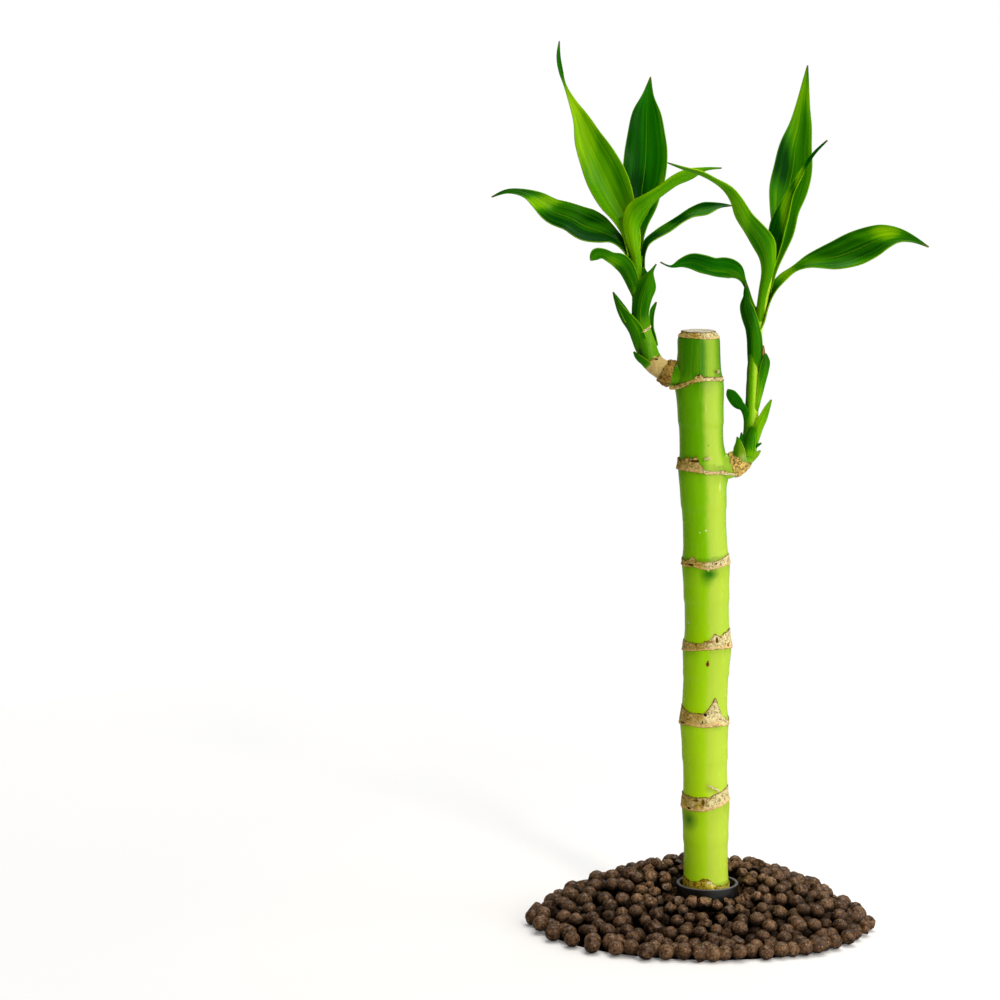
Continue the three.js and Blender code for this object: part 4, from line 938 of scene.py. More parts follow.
def stem_ring(side, share, extra=0.0):
    """Place, radius and lean of a ring of a stem; each sheath ends in a low step."""
    x, z, radius = smooth_row(STEMS[side], share)
    ahead = smooth_row(STEMS[side], min(share + 0.01, 1))
    behind = smooth_row(STEMS[side], max(share - 0.01, 0))
    for seam in STEM_SEAMS[side]:
        grown = smooth_step(seam - 0.05, seam, share) * (1 - smooth_step(seam, seam + 0.012, share))
        radius += SEAM_STEP * grown
    tilt = math.atan2(ahead[0] - behind[0], ahead[1] - behind[1])
    return Vector((x, 0, z)) * MM, (radius + extra) * MM, tilt


def draw_along(name, sides, rings, fill="NGON"):
    """A piece drawn along rings of a stem."""
    place, radius, tilt = rings[0]
    piece = new_ring(name, sides, radius, place, (0, tilt, 0), fill)
    draw_rings(rings)
    mend_normals(piece)
    return piece


def make_stem(side):
    stem = draw_along(f"{side}_shoot_stem", STEM_SIDES,
                      [stem_ring(side, step / STEM_RINGS) for step in range(STEM_RINGS + 1)])
    finish_surface(stem, 1, (0.006, 0.0004, 5))
    rings = [(share / 200, stem_ring(side, share / 200)[0]) for share in range(201)]
    shares = [min(rings, key=lambda ring: (ring[1] - point.co).length_squared)[0]
              for point in stem.data.vertices]
    painted_light, dry, brown = [], [], []
    for point, share in zip(stem.data.vertices, shares):
        place = point.co
        middle, _, radius = smooth_row(STEMS[side], share)
        grown = 0.35 + 0.65 * smooth_step(0.25, 0.5, share)
        # Painted light growing towards the right side of the stem.
        painted_light.append(STEM_PAINTED_LIGHT[side] * grown * smooth_step(-0.9, 1.0, (place.x / MM - middle) / radius))
        ragged = share + 0.012 * noise.noise(place * 700)
        dry.append(1 - smooth_step(STEM_DRY[side] - 0.012, STEM_DRY[side] + 0.004, ragged))
        ragged = share + 0.01 * noise.noise(place * 500)
        brown.append(max((1 - smooth_step(0.002, 0.007, abs(ragged - seam))) * (0.12 if k else 1)
                         for k, seam in enumerate(STEM_SEAMS[side])))
    for title, values in (("lit_side_paint", painted_light), ("dry_skin", dry), ("brown_ring", brown)):
        store(stem.data, title, values)
    return stem


def make_sleeve(name):
    """A sleeve drawn along a stem, then thickened and roughened."""
    side, rough, light, rows = SLEEVES[name]
    shares = [rows[0][0] + (rows[-1][0] - rows[0][0]) * step / SLEEVE_STEPS
              for step in range(SLEEVE_STEPS + 1)]
    rings = [stem_ring(side, share, level_between(rows, share)) for share in shares]
    sleeve = draw_along(name, SLEEVE_SIDES, rings, fill="NOTHING")
    apply_modifier(sleeve, "SOLIDIFY", thickness=SLEEVE_THICKNESS * MM, offset=-1)
    finish_surface(sleeve, 2, (0.003, 0.0011 * rough, 7), (0.0011, 0.0006 * rough, 9))
    paint_points(sleeve, "lit_side_paint", lambda place: light)
    return sleeve


def make_dry_ring():
    """The torn foot of an old sheath, left on the left shoot."""
    bpy.ops.mesh.primitive_torus_add(major_segments=48, minor_segments=10, major_radius=3.5 * MM,
                                     minor_radius=0.62 * MM, location=Vector((-30.6, -0.4, 268.4)) * MM,
                                     rotation=(0.12, math.radians(-25), 0))
    ring = named("left_dry_ring")
    set_down(ring)
    finish_surface(ring, 1, (0.0016, 0.0008, 21))
    # Painted light on the right of the ring and painted shade on its left.
    paint_points(ring, "lit_side_paint", lambda place: 0.9 if place.x > -30 * MM else 0.3)
    return ring


def make_bud(name, line):
    """A thin body drawn along a line, ring by ring."""
    rows = [smooth_row(line, step / BUD_STEPS) for step in range(BUD_STEPS + 1)]
    rings = [(Vector(row[:3]) * MM, max(row[3], BUD_LEAST_RADIUS) * MM, 0) for row in rows]
    way = (Vector(rows[1][:3]) - Vector(rows[0][:3])).normalized()
    bud = new_ring(name, BUD_SIDES, rings[0][1], rings[0][0], way.to_track_quat("Z", "Y").to_euler())
    draw_rings(rings)
    mend_normals(bud)
    finish_surface(bud, 1, (0.0012, 0.0003, 3))
    paint_husk_light(bud)
    return bud


# ---------------------------- leaves

# Name, finish, the way its inner side faces at the root and at the tip, wave of its margins in
# mm, and rows along its midrib: x, y, z, half width, and the angle that half of it curls through.
LEAVES = [
    ("left_leaf_upright_front", "light", (0.2, -1, 0), (0.15, -1, 0.1), 0.5, [(-35, 0.5, 300.5, 3.3, 65),
     (-36, 1.5, 309.5, 4.5, 50), (-39, 3, 317.5, 6.1, 40), (-43, 5, 325, 8.6, 35), (-47, 7, 333.5, 9.4, 30),
     (-51, 9, 342, 8.3, 25), (-55, 10, 350, 6.6, 25), (-58, 11, 358.5, 4, 20), (-62, 11, 366.5, 1.8, 20),
     (-65.4, 11, 374, 0.6, 15), (-67.2, 11, 380, 1, 15), (-68.3, 11, 386.5, 0.9, 15),
     (-67.9, 11, 393, 0.25, 10)]),
    ("left_leaf_upright_back", "dark", (0, -1, 0), (0, -0.95, 0.25), 0.4, [(-32.5, 2.5, 297.5, 2.2, 65),
     (-32.5, 4, 305.5, 1.8, 50), (-32.5, 5.5, 313.5, 4, 40), (-32, 7.5, 321, 7.3, 35),
     (-31.5, 10, 329, 9.2, 30), (-30.5, 12, 337, 9.7, 20), (-30, 14.5, 345.5, 9.5, 20),
     (-30, 16.5, 353.5, 8.2, 20), (-30, 19, 362, 6.3, 15), (-29.5, 21, 369.5, 2.6, 15),
     (-28.5, 23.5, 377.5, 0.3, 10)]),
    ("left_leaf_arching_right", "light", (0, 1, 0), (-0.4, 0.6, 0.9), 0.3, [(-33, -3, 286, 2.5, 70),
     (-33, -3, 293, 2.5, 65), (-33.5, -3, 300, 2.5, 65), (-35, -3.5, 307, 3.1, 55), (-35.5, -4, 314, 4.4, 50),
     (-33, -5, 320, 5.4, 40), (-28, -6.5, 325, 3.7, 40), (-22, -7.5, 329.5, 3, 35),
     (-16.5, -8.5, 333.5, 3.3, 30), (-10, -8, 336, 3.7, 25), (-4, -7.5, 338.5, 1.3, 15),
     (3, -7, 339, 0.3, 10)]),
    ("left_leaf_arching_back", "mid", (-0.7, -0.7, 0), (-0.2, -0.7, 0.8), 0.3, [(-30.5, 1.5, 289, 2.5, 60),
     (-30.5, 2, 295, 1.7, 55), (-30.5, 2, 300.5, 1.5, 50), (-29, 2, 306, 2.2, 45), (-24.5, 4, 309.5, 2.4, 40),
     (-19.5, 5.5, 312.5, 2.8, 30), (-14.5, 7, 316, 2.6, 25), (-9.5, 8, 319, 2.9, 20),
     (-3.5, 9, 320.5, 3.7, 20), (2, 10, 322, 1.7, 15), (7.5, 11, 322, 0.3, 10)]),
    ("left_leaf_arching_left", "mid", (0.7, -0.7, 0.2), (0.2, -0.9, 0.4), 0.5, [(-33, 0.5, 290, 2.2, 60),
     (-35, 0.5, 297, 2.3, 50), (-38.5, 1, 303.5, 2.3, 40), (-43.5, 1, 308.5, 3.6, 35),
     (-49.5, 1.5, 311, 6.9, 30), (-56.5, 2, 313.5, 8.4, 25), (-63, 2.5, 317, 7, 25),
     (-70.5, 3, 319.5, 6.1, 25), (-76.5, 2.5, 324, 4.3, 20), (-82.5, 1.5, 327.5, 2, 15),
     (-90, 0, 328.5, 1, 15), (-96.5, -2, 326, 0.3, 10)]),
    ("left_leaf_curled", "mid", (0.3, 0.95, 0), (-0.2, 0.8, 0.6), 0.15, [(-33.5, -2.2, 280.6, 1.4, 60),
     (-34, -3.6, 285, 2.9, 55), (-34.8, -4.2, 288, 3.2, 45), (-36.2, -4.8, 291.8, 3.5, 40),
     (-38, -5.6, 295.6, 4, 35), (-40.8, -6.2, 298.4, 4.1, 35), (-44.2, -6.8, 300, 2.8, 30),
     (-47.6, -7.6, 301.8, 2.6, 30), (-51, -8.4, 301.4, 3.3, 25), (-53.2, -9, 299.2, 0.3, 10)]),
    ("left_leaf_front_sheath", "mid", (0, 1, 0), (-0.1, 1, 0.1), 0.15, [(-30.4, -3.6, 268.2, 4.5, 75),
     (-31.2, -4, 272, 4.6, 70), (-31.6, -4.4, 276, 4.7, 70), (-31.2, -4.8, 280, 4.7, 60),
     (-30.4, -5.2, 283.8, 4.9, 55), (-29, -5.6, 287.6, 4.9, 50), (-28, -5.8, 291.2, 3, 40),
     (-26.8, -6, 294.4, 0.9, 35), (-24.8, -6, 297.6, 0.3, 10)]),
    ("left_scale_back", "mid", (-0.5, -0.85, 0), (-0.4, -0.9, 0), 0.1, [(-25.4, 2.6, 261.2, 2.5, 45),
     (-26, 2.8, 265.2, 1.8, 40), (-26.8, 3, 269, 1.3, 35), (-26.8, 3.2, 273, 1.1, 30),
     (-26.4, 3.4, 276.8, 1.2, 25), (-24.8, 3.6, 280.4, 0.3, 10)]),
    ("left_scale_outer", "mid", (0.75, 0.65, 0), (0.7, 0.7, 0.1), 0.1, [(-31.6, -1.2, 257, 5.6, 75),
     (-33.2, -1.6, 260.6, 5.9, 70), (-34.4, -2.2, 264.4, 6.2, 65), (-35.6, -2.8, 268, 5.8, 60),
     (-37.2, -2.8, 271.4, 4.7, 50), (-39, -2.4, 274.4, 3.8, 45), (-40.8, -2.2, 277.6, 2.5, 35),
     (-42.2, -2.2, 281.2, 1.4, 30), (-43.4, -2, 284.6, 0.3, 10)]),
    ("left_scale_low", "mid", (0.6, 0.7, 0.3), (0.7, 0.6, 0.2), 0.05, [(-28.4, -3.2, 252.4, 3, 45),
     (-30.4, -3.2, 254.6, 2.4, 35), (-32.8, -3.2, 256.8, 1.9, 25), (-34.4, -3.2, 259.2, 0.3, 10)]),
    ("right_leaf_upright_back", "mid", (0, -1, 0), (-0.1, -1, 0.2), 0.4, [(23.5, 1.5, 285, 1.8, 65),
     (25.5, 3, 294, 2, 55), (28, 4, 302.5, 3.3, 50), (30, 5.5, 311, 5.2, 40), (30.5, 8.5, 320, 6.7, 30),
     (32, 11, 328.5, 8.6, 25), (34, 13.5, 337.5, 8.6, 20), (35, 16, 346.5, 7.4, 20), (37, 18, 355.5, 5.3, 15),
     (38, 20, 364.5, 3.3, 15), (39, 22.5, 373.5, 1.8, 15), (40, 24.5, 382.5, 0.3, 10)]),
    ("right_leaf_folded", "dark", (-0.5, -0.85, 0.1), (-0.6, -0.7, 0.2), 0.15, [(24, -0.5, 294, 2.9, 60),
     (26, -1, 301, 3.6, 60), (27.5, -2, 308, 4.8, 60), (29, -3, 315, 5.1, 60), (31, -3.5, 321.5, 4.1, 60),
     (33, -4.5, 328, 2.6, 60), (36, -5, 334, 1.8, 60), (39, -5.5, 340, 1.2, 50), (43, -6.5, 346, 0.8, 40),
     (48, -7, 351, 0.3, 10)]),
    ("right_leaf_arching_front", "light", (0, 1, 0), (0.3, 0.3, 1), 0.3, [(19.6, -0.4, 267, 0.9, 70),
     (20, -2, 272, 2.1, 70), (20.5, -3, 279.5, 2, 65), (21.5, -4, 286.5, 2.2, 60), (23, -5, 293.5, 2.8, 50),
     (23, -7, 300, 3.9, 45), (21, -9.5, 306.5, 5.6, 35), (17, -13, 312.5, 5.2, 30),
     (12.5, -16.5, 318.5, 4.4, 25), (9.5, -19.5, 325, 3.2, 25), (5.5, -21.5, 330.5, 2.6, 20),
     (-0.5, -23.5, 334.5, 1.8, 20), (-6.5, -25, 337.5, 2.7, 15), (-13.5, -26.5, 339.5, 2.3, 15),
     (-20, -27.5, 342, 0.3, 10)]),
    ("right_leaf_right", "mid", (-0.85, -0.4, 0.25), (0, -0.9, 0.5), 0.5, [(19.4, 0.4, 266.5, 1.8, 60),
     (22, 0.5, 272, 3.5, 60), (23.5, 0.5, 278.5, 2.9, 60), (26, 0.5, 285, 3.1, 55), (30, 0.5, 290.5, 3.3, 55),
     (35, 0.5, 295, 1.9, 50), (41, 0, 298, 3.5, 40), (47.5, -0.5, 299.5, 5.9, 35), (54, -1.5, 301, 8, 30),
     (60.5, -2, 303.5, 8.8, 25), (67, -3, 306.5, 7.9, 20), (73, -3.5, 309, 6.2, 20),
     (79.5, -4.5, 310, 3.5, 15), (86, -6, 308.5, 1.5, 15), (92, -7, 305.5, 0.3, 10)]),
    ("right_leaf_left", "dark", (0.6, 0.75, 0.2), (0.1, 0.8, 0.6), 0.3, [(17.5, -0.5, 276.5, 2, 60),
     (16, -0.5, 281, 1.4, 55), (14.5, -1, 286, 1.2, 50), (12.5, -1.5, 290.5, 1.7, 40),
     (9.5, -2.5, 293.5, 4.8, 35), (5.5, -3, 295, 5.6, 30), (0, -4, 295.5, 5.1, 30),
     (-4.5, -4.5, 297, 5.3, 25), (-9.5, -5, 298.5, 4.4, 25), (-14, -6, 298, 2.3, 20),
     (-18.5, -6.5, 296.5, 0.5, 15), (-23, -7, 298.5, 0.3, 10)]),
    ("right_leaf_front_sheath", "mid", (0.3, 1, 0), (0.2, 1, 0), 0.1, [(17.6, -0.8, 241, 2.2, 75),
     (17.8, -1.7, 248, 3.6, 75), (18, -2.4, 254.4, 4.4, 70), (17.8, -2.8, 259.6, 4.3, 65),
     (17.6, -3.2, 264.6, 4.1, 60), (16.8, -3.6, 269.6, 3.7, 55), (15.4, -4, 274.4, 3.8, 50),
     (14, -4, 279.4, 3.1, 45), (14, -4.2, 284, 1, 35), (14, -4.2, 289, 0.3, 10)]),
    ("right_scale_upper_right", "mid", (-0.7, 0.7, 0), (-0.4, 0.9, 0), 0.05, [(18.9, -0.2, 230.6, 0.8, 60),
     (19.8, -2.2, 234.6, 1.3, 60), (20.4, -2.2, 238.4, 1.7, 55), (21.2, -2.2, 242.4, 2, 50),
     (21.8, -2.2, 246.4, 2.4, 45), (22.6, -2.4, 250.4, 2.6, 45), (23.2, -2.4, 254.4, 2.5, 40),
     (23, -2.4, 256.8, 1.5, 35), (22.8, -2.4, 258.8, 0.3, 10)]),
    ("right_leaf_short_left", "dark", (0.5, 0.85, 0), (0.1, 0.8, 0.5), 0.05, [(15.8, -0.6, 221, 1.6, 60),
     (15.2, -1.8, 226.6, 2.2, 60), (15, -2.2, 229.6, 2, 55), (14.4, -2.6, 232.4, 1.8, 45),
     (13.2, -2.8, 234.8, 1.9, 40), (11, -3.2, 236.4, 3, 40), (9.2, -3.8, 238.8, 3.1, 40),
     (7.8, -4.4, 241.4, 2.4, 35), (6.6, -5, 243.2, 0.3, 10)]),
    ("right_scale_outer", "mid", (-0.5, 0.85, 0), (-0.5, 0.8, 0.2), 0.1, [(17.6, -2.8, 214, 2.5, 60),
     (18.4, -2.8, 218.4, 2.6, 55), (19.4, -2.8, 222.4, 2.8, 50), (20.8, -3, 226.6, 2.7, 45),
     (22.4, -3, 230.6, 2.4, 35), (24, -3, 234.8, 1.6, 30), (25.6, -3, 238.6, 0.3, 10)]),
    ("right_scale_front", "mid", (0.2, 1, 0), (0.1, 1, 0), 0.05, [(15.2, -4.8, 213.8, 3.4, 60),
     (15.6, -4.8, 217.4, 3.5, 55), (16, -4.8, 220.8, 3.3, 50), (16.8, -4.8, 224.4, 2.2, 40),
     (17.8, -5, 227.2, 0.3, 10)]),
    ("right_scale_front_left", "fresh", (0.4, 0.8, 0.3), (0.4, 0.9, 0), 0.05, [(12, -4.8, 211.2, 3.2, 40),
     (11.8, -4.8, 214, 3.2, 35), (11.6, -4.8, 217, 2.8, 30), (11.6, -4.8, 219.6, 1.6, 25),
     (11, -4.8, 222.4, 0.3, 10)]),
    ("right_scale_low", "fresh", (-0.6, 0.7, 0.3), (-0.5, 0.7, 0.5), 0.05, [(15.6, -2.4, 210, 2, 45),
     (17.4, -2.4, 212, 2.4, 35), (19.2, -2.8, 214, 1.9, 25), (21.2, -2.8, 216.2, 0.3, 10)]),
    ("left_sheath_inner_tip", "dark", (0, -1, 0), (0, -1, 0), 0, [(-28.4, -2.2, 286, 2.2, 20),
     (-28.8, -2.4, 289.5, 2, 20), (-29.6, -2.6, 292.6, 1.4, 20), (-30.4, -2.6, 296, 0.3, 10)]),
    ("left_outer_inner_tip", "dark", (0.5, -0.8, 0), (0.5, -0.8, 0), 0, [(-36.5, -1.6, 272.5, 2.2, 20),
     (-38.6, -1.6, 276.2, 2, 20), (-41, -1.6, 280.6, 1.2, 20), (-43.6, -1.6, 285, 0.3, 10)]),
    ("right_sheath_inner_tip", "dark", (0, -1, 0), (0, -1, 0), 0, [(15, -3, 278, 1.8, 20),
     (14.5, -3, 282, 1.6, 20), (14, -3, 285.8, 1, 20), (14, -3, 289.4, 0.3, 10)]),
    ("right_scale_spike", "dry", (0, -1, 0), (0, -1, 0), 0, [(22.2, -2.1, 257.2, 0.6, 20),
     (22.1, -2.2, 258.8, 0.6, 20), (22, -2.3, 260.6, 0.45, 20), (21.9, -2.4, 262.2, 0.25, 10)]),
    ("right_front_inner_tip", "dark", (0, -1, 0), (0, -1, 0), 0, [(12.6, -3.8, 216.5, 1.4, 20),
     (12.7, -3.8, 219.6, 1.2, 20), (12.8, -3.8, 221.8, 0.8, 20), (12.8, -3.8, 224.2, 0.3, 10)]),
    ("right_low_inner_tip", "dark", (-0.5, 0.8, 0.3), (-0.5, 0.8, 0.3), 0, [(14.8, -2, 214, 1.4, 20),
     (16.6, -2, 216, 1.3, 20), (19, -2, 217.8, 1, 20), (21.6, -2, 219.4, 0.3, 10)]),
]
# Tips of inner leaves that show past others, and the leaf that each belongs to.
TIP_OF = {
    "left_sheath_inner_tip": "left_leaf_front_sheath", "left_outer_inner_tip": "left_scale_outer",
    "right_sheath_inner_tip": "right_leaf_front_sheath", "right_scale_spike": "right_scale_upper_right",
    "right_front_inner_tip": "right_scale_front_left", "right_low_inner_tip": "right_scale_low",
}
# How light each blade is, from 0 to 1, partly its own green and partly painted light and shade, and patches
# of painted light, shade and sheen on it: x, z, half width and half height in mm, tone.
LEAF_LIGHT_AND_TONES = {
    "left_leaf_upright_front": (0.5, [(-61.5, 367.5, 2.6, 11.3, 1), (-59, 346, 2.2, 10.4, 0.85),
        (-54, 354.5, 2.2, 14.8, 0.72), (-48, 350.5, 2.6, 11.3, 0.3), (-41, 333, 3, 11.3, 0.18),
        (-48, 322.5, 5.2, 7, 0.5), (-67.5, 384, 2.2, 7, -0.1)]),
    "left_leaf_upright_back": (0.42, [(-35.5, 350, 2.6, 13.1, 0.12), (-34.5, 329.5, 4.3, 6.1, -0.1),
        (-25.5, 346, 2.4, 14.8, 0.5), (-29.5, 371, 2.6, 5.2, 0.5), (-24, 330.5, 3, 5.2, 0.5)]),
    "left_leaf_arching_right": (0.45, [(-35, 306, 2.2, 10.4, 0.72), (-32, 319, 3, 6.1, 0.3),
        (-20, 330.5, 6.1, 3, 0.42), (-37, 314.5, 1.3, 8.7, 0.7), (-6.5, 337, 7.8, 2.2, 0.45)]),
    "left_leaf_arching_back": (0, [(-21.5, 312.5, 5.2, 1.7, 0.45), (-10.5, 322.5, 6.1, 2.2, 0.08),
        (-6, 319.5, 7, 1.7, 0.4)]),
    "left_leaf_arching_left": (0.14, [(-75.5, 323.5, 7, 2.6, 1.05), (-60.5, 320.5, 6.1, 2.6, 0.4),
        (-49.5, 312.5, 6.1, 1.7, 0.5), (-58, 309, 11.3, 2.6, 0), (-88, 329, 3.5, 2.2, 0.25)]),
    "left_leaf_curled": (0.35, [(-44, 298.5, 3.5, 2.2, 0.75), (-38.5, 293, 3.5, 2.6, 0.3),
        (-49, 296.5, 2.6, 2.2, 0.2)]),
    "left_leaf_front_sheath": (0.32, [(-31.5, 282, 2.6, 8.7, 0.28), (-27, 286, 1.7, 7, 0.55),
        (-31.5, 271, 4.3, 3.5, 0.45)]),
    "left_scale_outer": (0.4, [(-38, 268.5, 2.6, 6.1, 0.3), (-34.5, 272, 2.2, 6.1, 0.6),
        (-40.5, 279.5, 2.2, 3.5, 0.45)]),
    "right_leaf_upright_back": (0.45, [(29.5, 339.5, 4.3, 8.7, -0.05), (36.5, 368.5, 3.5, 10.4, 0.85),
        (33.5, 355, 1.7, 13.1, 0.75), (40.5, 346, 2.2, 9.6, 0.5), (26.5, 326.5, 3.5, 7, 0.6),
        (38.5, 359, 1.3, 8.7, 0.2)]),
    "right_leaf_folded": (0.25, [(31, 319, 2.2, 9.6, 1.1), (26, 313, 1.7, 7, 0.1),
        (38, 314.5, 3.5, 8.7, 0.15), (36.5, 334, 1.7, 7, 1.1)]),
    "right_leaf_arching_front": (0.3, [(22.5, 290.5, 2.6, 7.8, 0.32), (18.5, 308.5, 4.3, 7.8, 0.12),
        (10, 323.5, 4.3, 4.3, 0.6), (13, 316, 1.7, 7, 0.65), (26.5, 305, 1.3, 8.7, 0.7),
        (0, 334, 7, 2.6, 0.55)]),
    "right_leaf_right": (0.2, [(31.5, 293, 4.3, 3.5, 0.95), (42.5, 298.5, 6.1, 1.7, 0.7),
        (73.5, 311.5, 5.2, 2.6, 1.1), (65.5, 310, 5.2, 1.3, 0.6), (64, 298.5, 9.6, 1.7, 0.6),
        (56.5, 305.5, 10.4, 2.2, 0.22), (82.5, 307.5, 4.3, 1.7, 0.3)]),
    "right_leaf_left": (0.45, [(-6, 298.5, 13.1, 2.2, 0.35), (-0.5, 294, 9.6, 1.7, 0.6),
        (9, 290.5, 3.5, 2.6, 0.75), (-10.5, 300, 6.1, 1.7, 0.1)]),
    "right_leaf_front_sheath": (0.2, [(15, 277.5, 2.6, 7, 0.18), (19, 277.5, 1.3, 8.7, 0.6),
        (14.5, 262, 1.6, 9, 0.1), (19, 262, 2.4, 8, 0.55), (18.5, 250, 3, 5, 0.8)]),
    "right_scale_upper_right": (0.25, [(19.5, 238, 3, 8, 0.9), (23.5, 246, 1.5, 5, 0.6)]),
    "right_scale_outer": (0.7, [(17.5, 222, 1.5, 5, 0.35), (21.5, 222, 2, 8, 0.85)]),
    "right_scale_front": (0.3, [(16, 213, 5, 3.5, 0.85), (18.5, 220, 1, 5, 0.6)]),
    "right_leaf_short_left": (0.42, [(7.5, 236, 1.5, 3, 0.55), (14, 229, 2, 3, 0.6)]),
    "right_scale_front_left": (0.4, [(10.4, 218, 1.4, 6, -0.1), (13.4, 212, 1.8, 3, 1),
        (12.8, 218, 1.2, 3, 0.45)]),
    "left_scale_low": (0.45, [(-31, 258, 2, 2, 0.3)]),
}
TONE_HOLD = 0.25  # how strongly a blade keeps its own tone between its patches
LEAF_COLUMNS = 12
ROWS_PER_ENTRY = 3
LEAST_HALF_WIDTH, LEAST_CUPPING = 0.25, 5
BROAD_HALF_WIDTH = 9  # where a blade counts as fully broad
RIPPLES = 17  # how far the wave of the margins runs on from root to tip, in radians
LEAF_THICKNESS = 0.45
LEAF_FOLD = 0.22  # share of a leaf's depth that is a straight fold along its midrib
# For each finish, its name, its slot, and its deep, middle, bright and rim colours; the light, mid and dark
# finishes are partly the leaves' own greens and partly painted light and shade, the dark one going on leaves
# in shade.
LEAF_LOOKS = {
    "light": ("leaf_light", "leaf_light", (30, 106, 0), (90, 162, 0), (162, 210, 8), (156, 200, 10)),
    "mid": ("leaf_green", "leaf_green", (0, 60, 0), (52, 128, 0), (148, 206, 4), (138, 192, 8)),
    "dark": ("leaf_dark", "leaf_dark", (0, 58, 0), (26, 112, 0), (140, 206, 6), (120, 182, 6)),
    "dry": ("leaf_dry", "sheath_tan", (100, 78, 20), (160, 128, 60), (196, 166, 100), (120, 88, 30)),
    "fresh": ("leaf_fresh", "shoot_green", (70, 134, 0), (120, 172, 20), (196, 206, 120), (186, 196, 90)),
}


def make_leaf(name, root_face, tip_face, wave, rows, seed):
    """A flat grid, dished across; each row is then sized, turned and set down on the midrib."""
    chance = random.Random(seed)
    steps = ROWS_PER_ENTRY * len(rows)
    bpy.ops.mesh.primitive_grid_add(x_subdivisions=LEAF_COLUMNS, y_subdivisions=steps, size=2,
                                    location=(0, 0, BENCH))
    leaf = named(name.replace("_leaf_", "_blade_"))
    set_down(leaf)
    start_shaping(leaf)
    for column in range(LEAF_COLUMNS + 1):
        across = 2 * column / LEAF_COLUMNS - 1
        pick_points(leaf, lambda place: abs(place.x - across) < 0.01)
        move((0, 0, (1 - LEAF_FOLD) * across * across + LEAF_FOLD * abs(across)))
    root_face, tip_face = Vector(root_face).normalized(), Vector(tip_face).normalized()
    swing = [chance.uniform(0, FULL_TURN) for _ in range(2)]
    midrib = []
    for step in range(steps + 1):
        share = step / steps
        x, y, z, half_width, cupping = smooth_row(rows, share)
        ahead = Vector(smooth_row(rows, min(share + 0.01, 1))[:3])
        along = (ahead - Vector(smooth_row(rows, max(share - 0.01, 0))[:3])).normalized()
        across = root_face.lerp(tip_face, share).cross(along).normalized()
        cup = math.radians(max(cupping, LEAST_CUPPING))
        half_width = max(half_width, LEAST_HALF_WIDTH)
        midrib.append((Vector((x, y, z)) * MM, half_width / BROAD_HALF_WIDTH))
        centre = Vector((0, 2 * share - 1, BENCH))

        def in_row(place):
            return place.z > BENCH / 2 and abs(place.y - centre.y) < 0.01
        ripple = wave * min(1, half_width / 4) * smooth_step(0.15, 0.4, share)
        for side in (-1, 1):
            pick_points(leaf, lambda place: in_row(place) and place.x * side > 0.8)
            rise = ripple * math.sin(swing[max(side, 0)] + share * RIPPLES + side)
            move((0, 0, rise * cup / (half_width * (1 - math.cos(cup)))))
        pick_points(leaf, in_row)
        stretch((half_width * math.sin(cup) / cup * MM, 1, half_width * (1 - math.cos(cup)) / cup * MM),
                centre)
        turned = Matrix((-across, along, along.cross(across))).transposed().to_euler("XYZ")
        for axis, angle in zip("XYZ", turned):
            turn(angle, axis, centre)
        move(Vector((x, y, z)) * MM - centre)
    smooth_out(leaf, 1)
    apply_modifier(leaf, "SOLIDIFY", thickness=LEAF_THICKNESS * MM, offset=0, use_even_offset=False)
    shade(leaf)
    base, patches = LEAF_LIGHT_AND_TONES.get(name, (0.5, []))

    # The blade's tone with its patches of painted light and shade.
    def leaf_light(place):
        weight, total = TONE_HOLD, TONE_HOLD * base
        for x, z, wide, high, tone in patches:
            near = math.exp(-((place.x / MM - x) / wide) ** 2 - ((place.z / MM - z) / high) ** 2)
            weight, total = weight + near, total + near * tone
        return total / weight
    paint_points(leaf, "leaf_light", leaf_light)
    paint_points(leaf, "breadth",
                 lambda place: min(midrib, key=lambda ring: (ring[0] - place).length_squared)[1])
    return leaf


# ---------------------------- wax, cup and compost

WAX_RADIUS = 7.2
WAX_SINK = 0.1
WAX_EDGE = 0.7
# Insets of the top of the wax, and of the crumbs in the cup: how far in, and how far up.
WAX_RINGS = [(0.5, 0.25), (0.8, 0.08), (1.6, 0.0), (1.6, -0.06), (1.4, -0.04)]
CUP_HEIGHT = 21.0
CUP_RIM_RADIUS = 13.9
CUP_FOOT_RADIUS = 12.9
CUP_WALL = 1.5
CUP_FLOOR = 2.0
CUP_BEVEL = 0.45
CUP_GAP = 0.3  # left free between the cup and what lies against it
SOIL_FOOT = 2.3
SOIL_TOP = 16.8
SOIL_RADIUS = CUP_FOOT_RADIUS - CUP_WALL - CUP_GAP
SOIL_GROWTH = 0.7
SOIL_RINGS = [(0.45, 0.12)] * 4


def inset_rings(rings):
    for inset, rise in rings:
        bpy.ops.mesh.inset(thickness=inset * MM)
        move((0, 0, rise * MM))


def make_wax():
    wax = new_ring("wax_cap", 48, WAX_RADIUS * MM, (cane_middle(CANE_TOP) - Vector((0, 0, WAX_SINK))) * MM)
    draw_up((0, 0, WAX_EDGE * MM))
    inset_rings(WAX_RINGS)
    mend_normals(wax)
    return finish_surface(wax, 1, (0.003, 0.0003, 2))


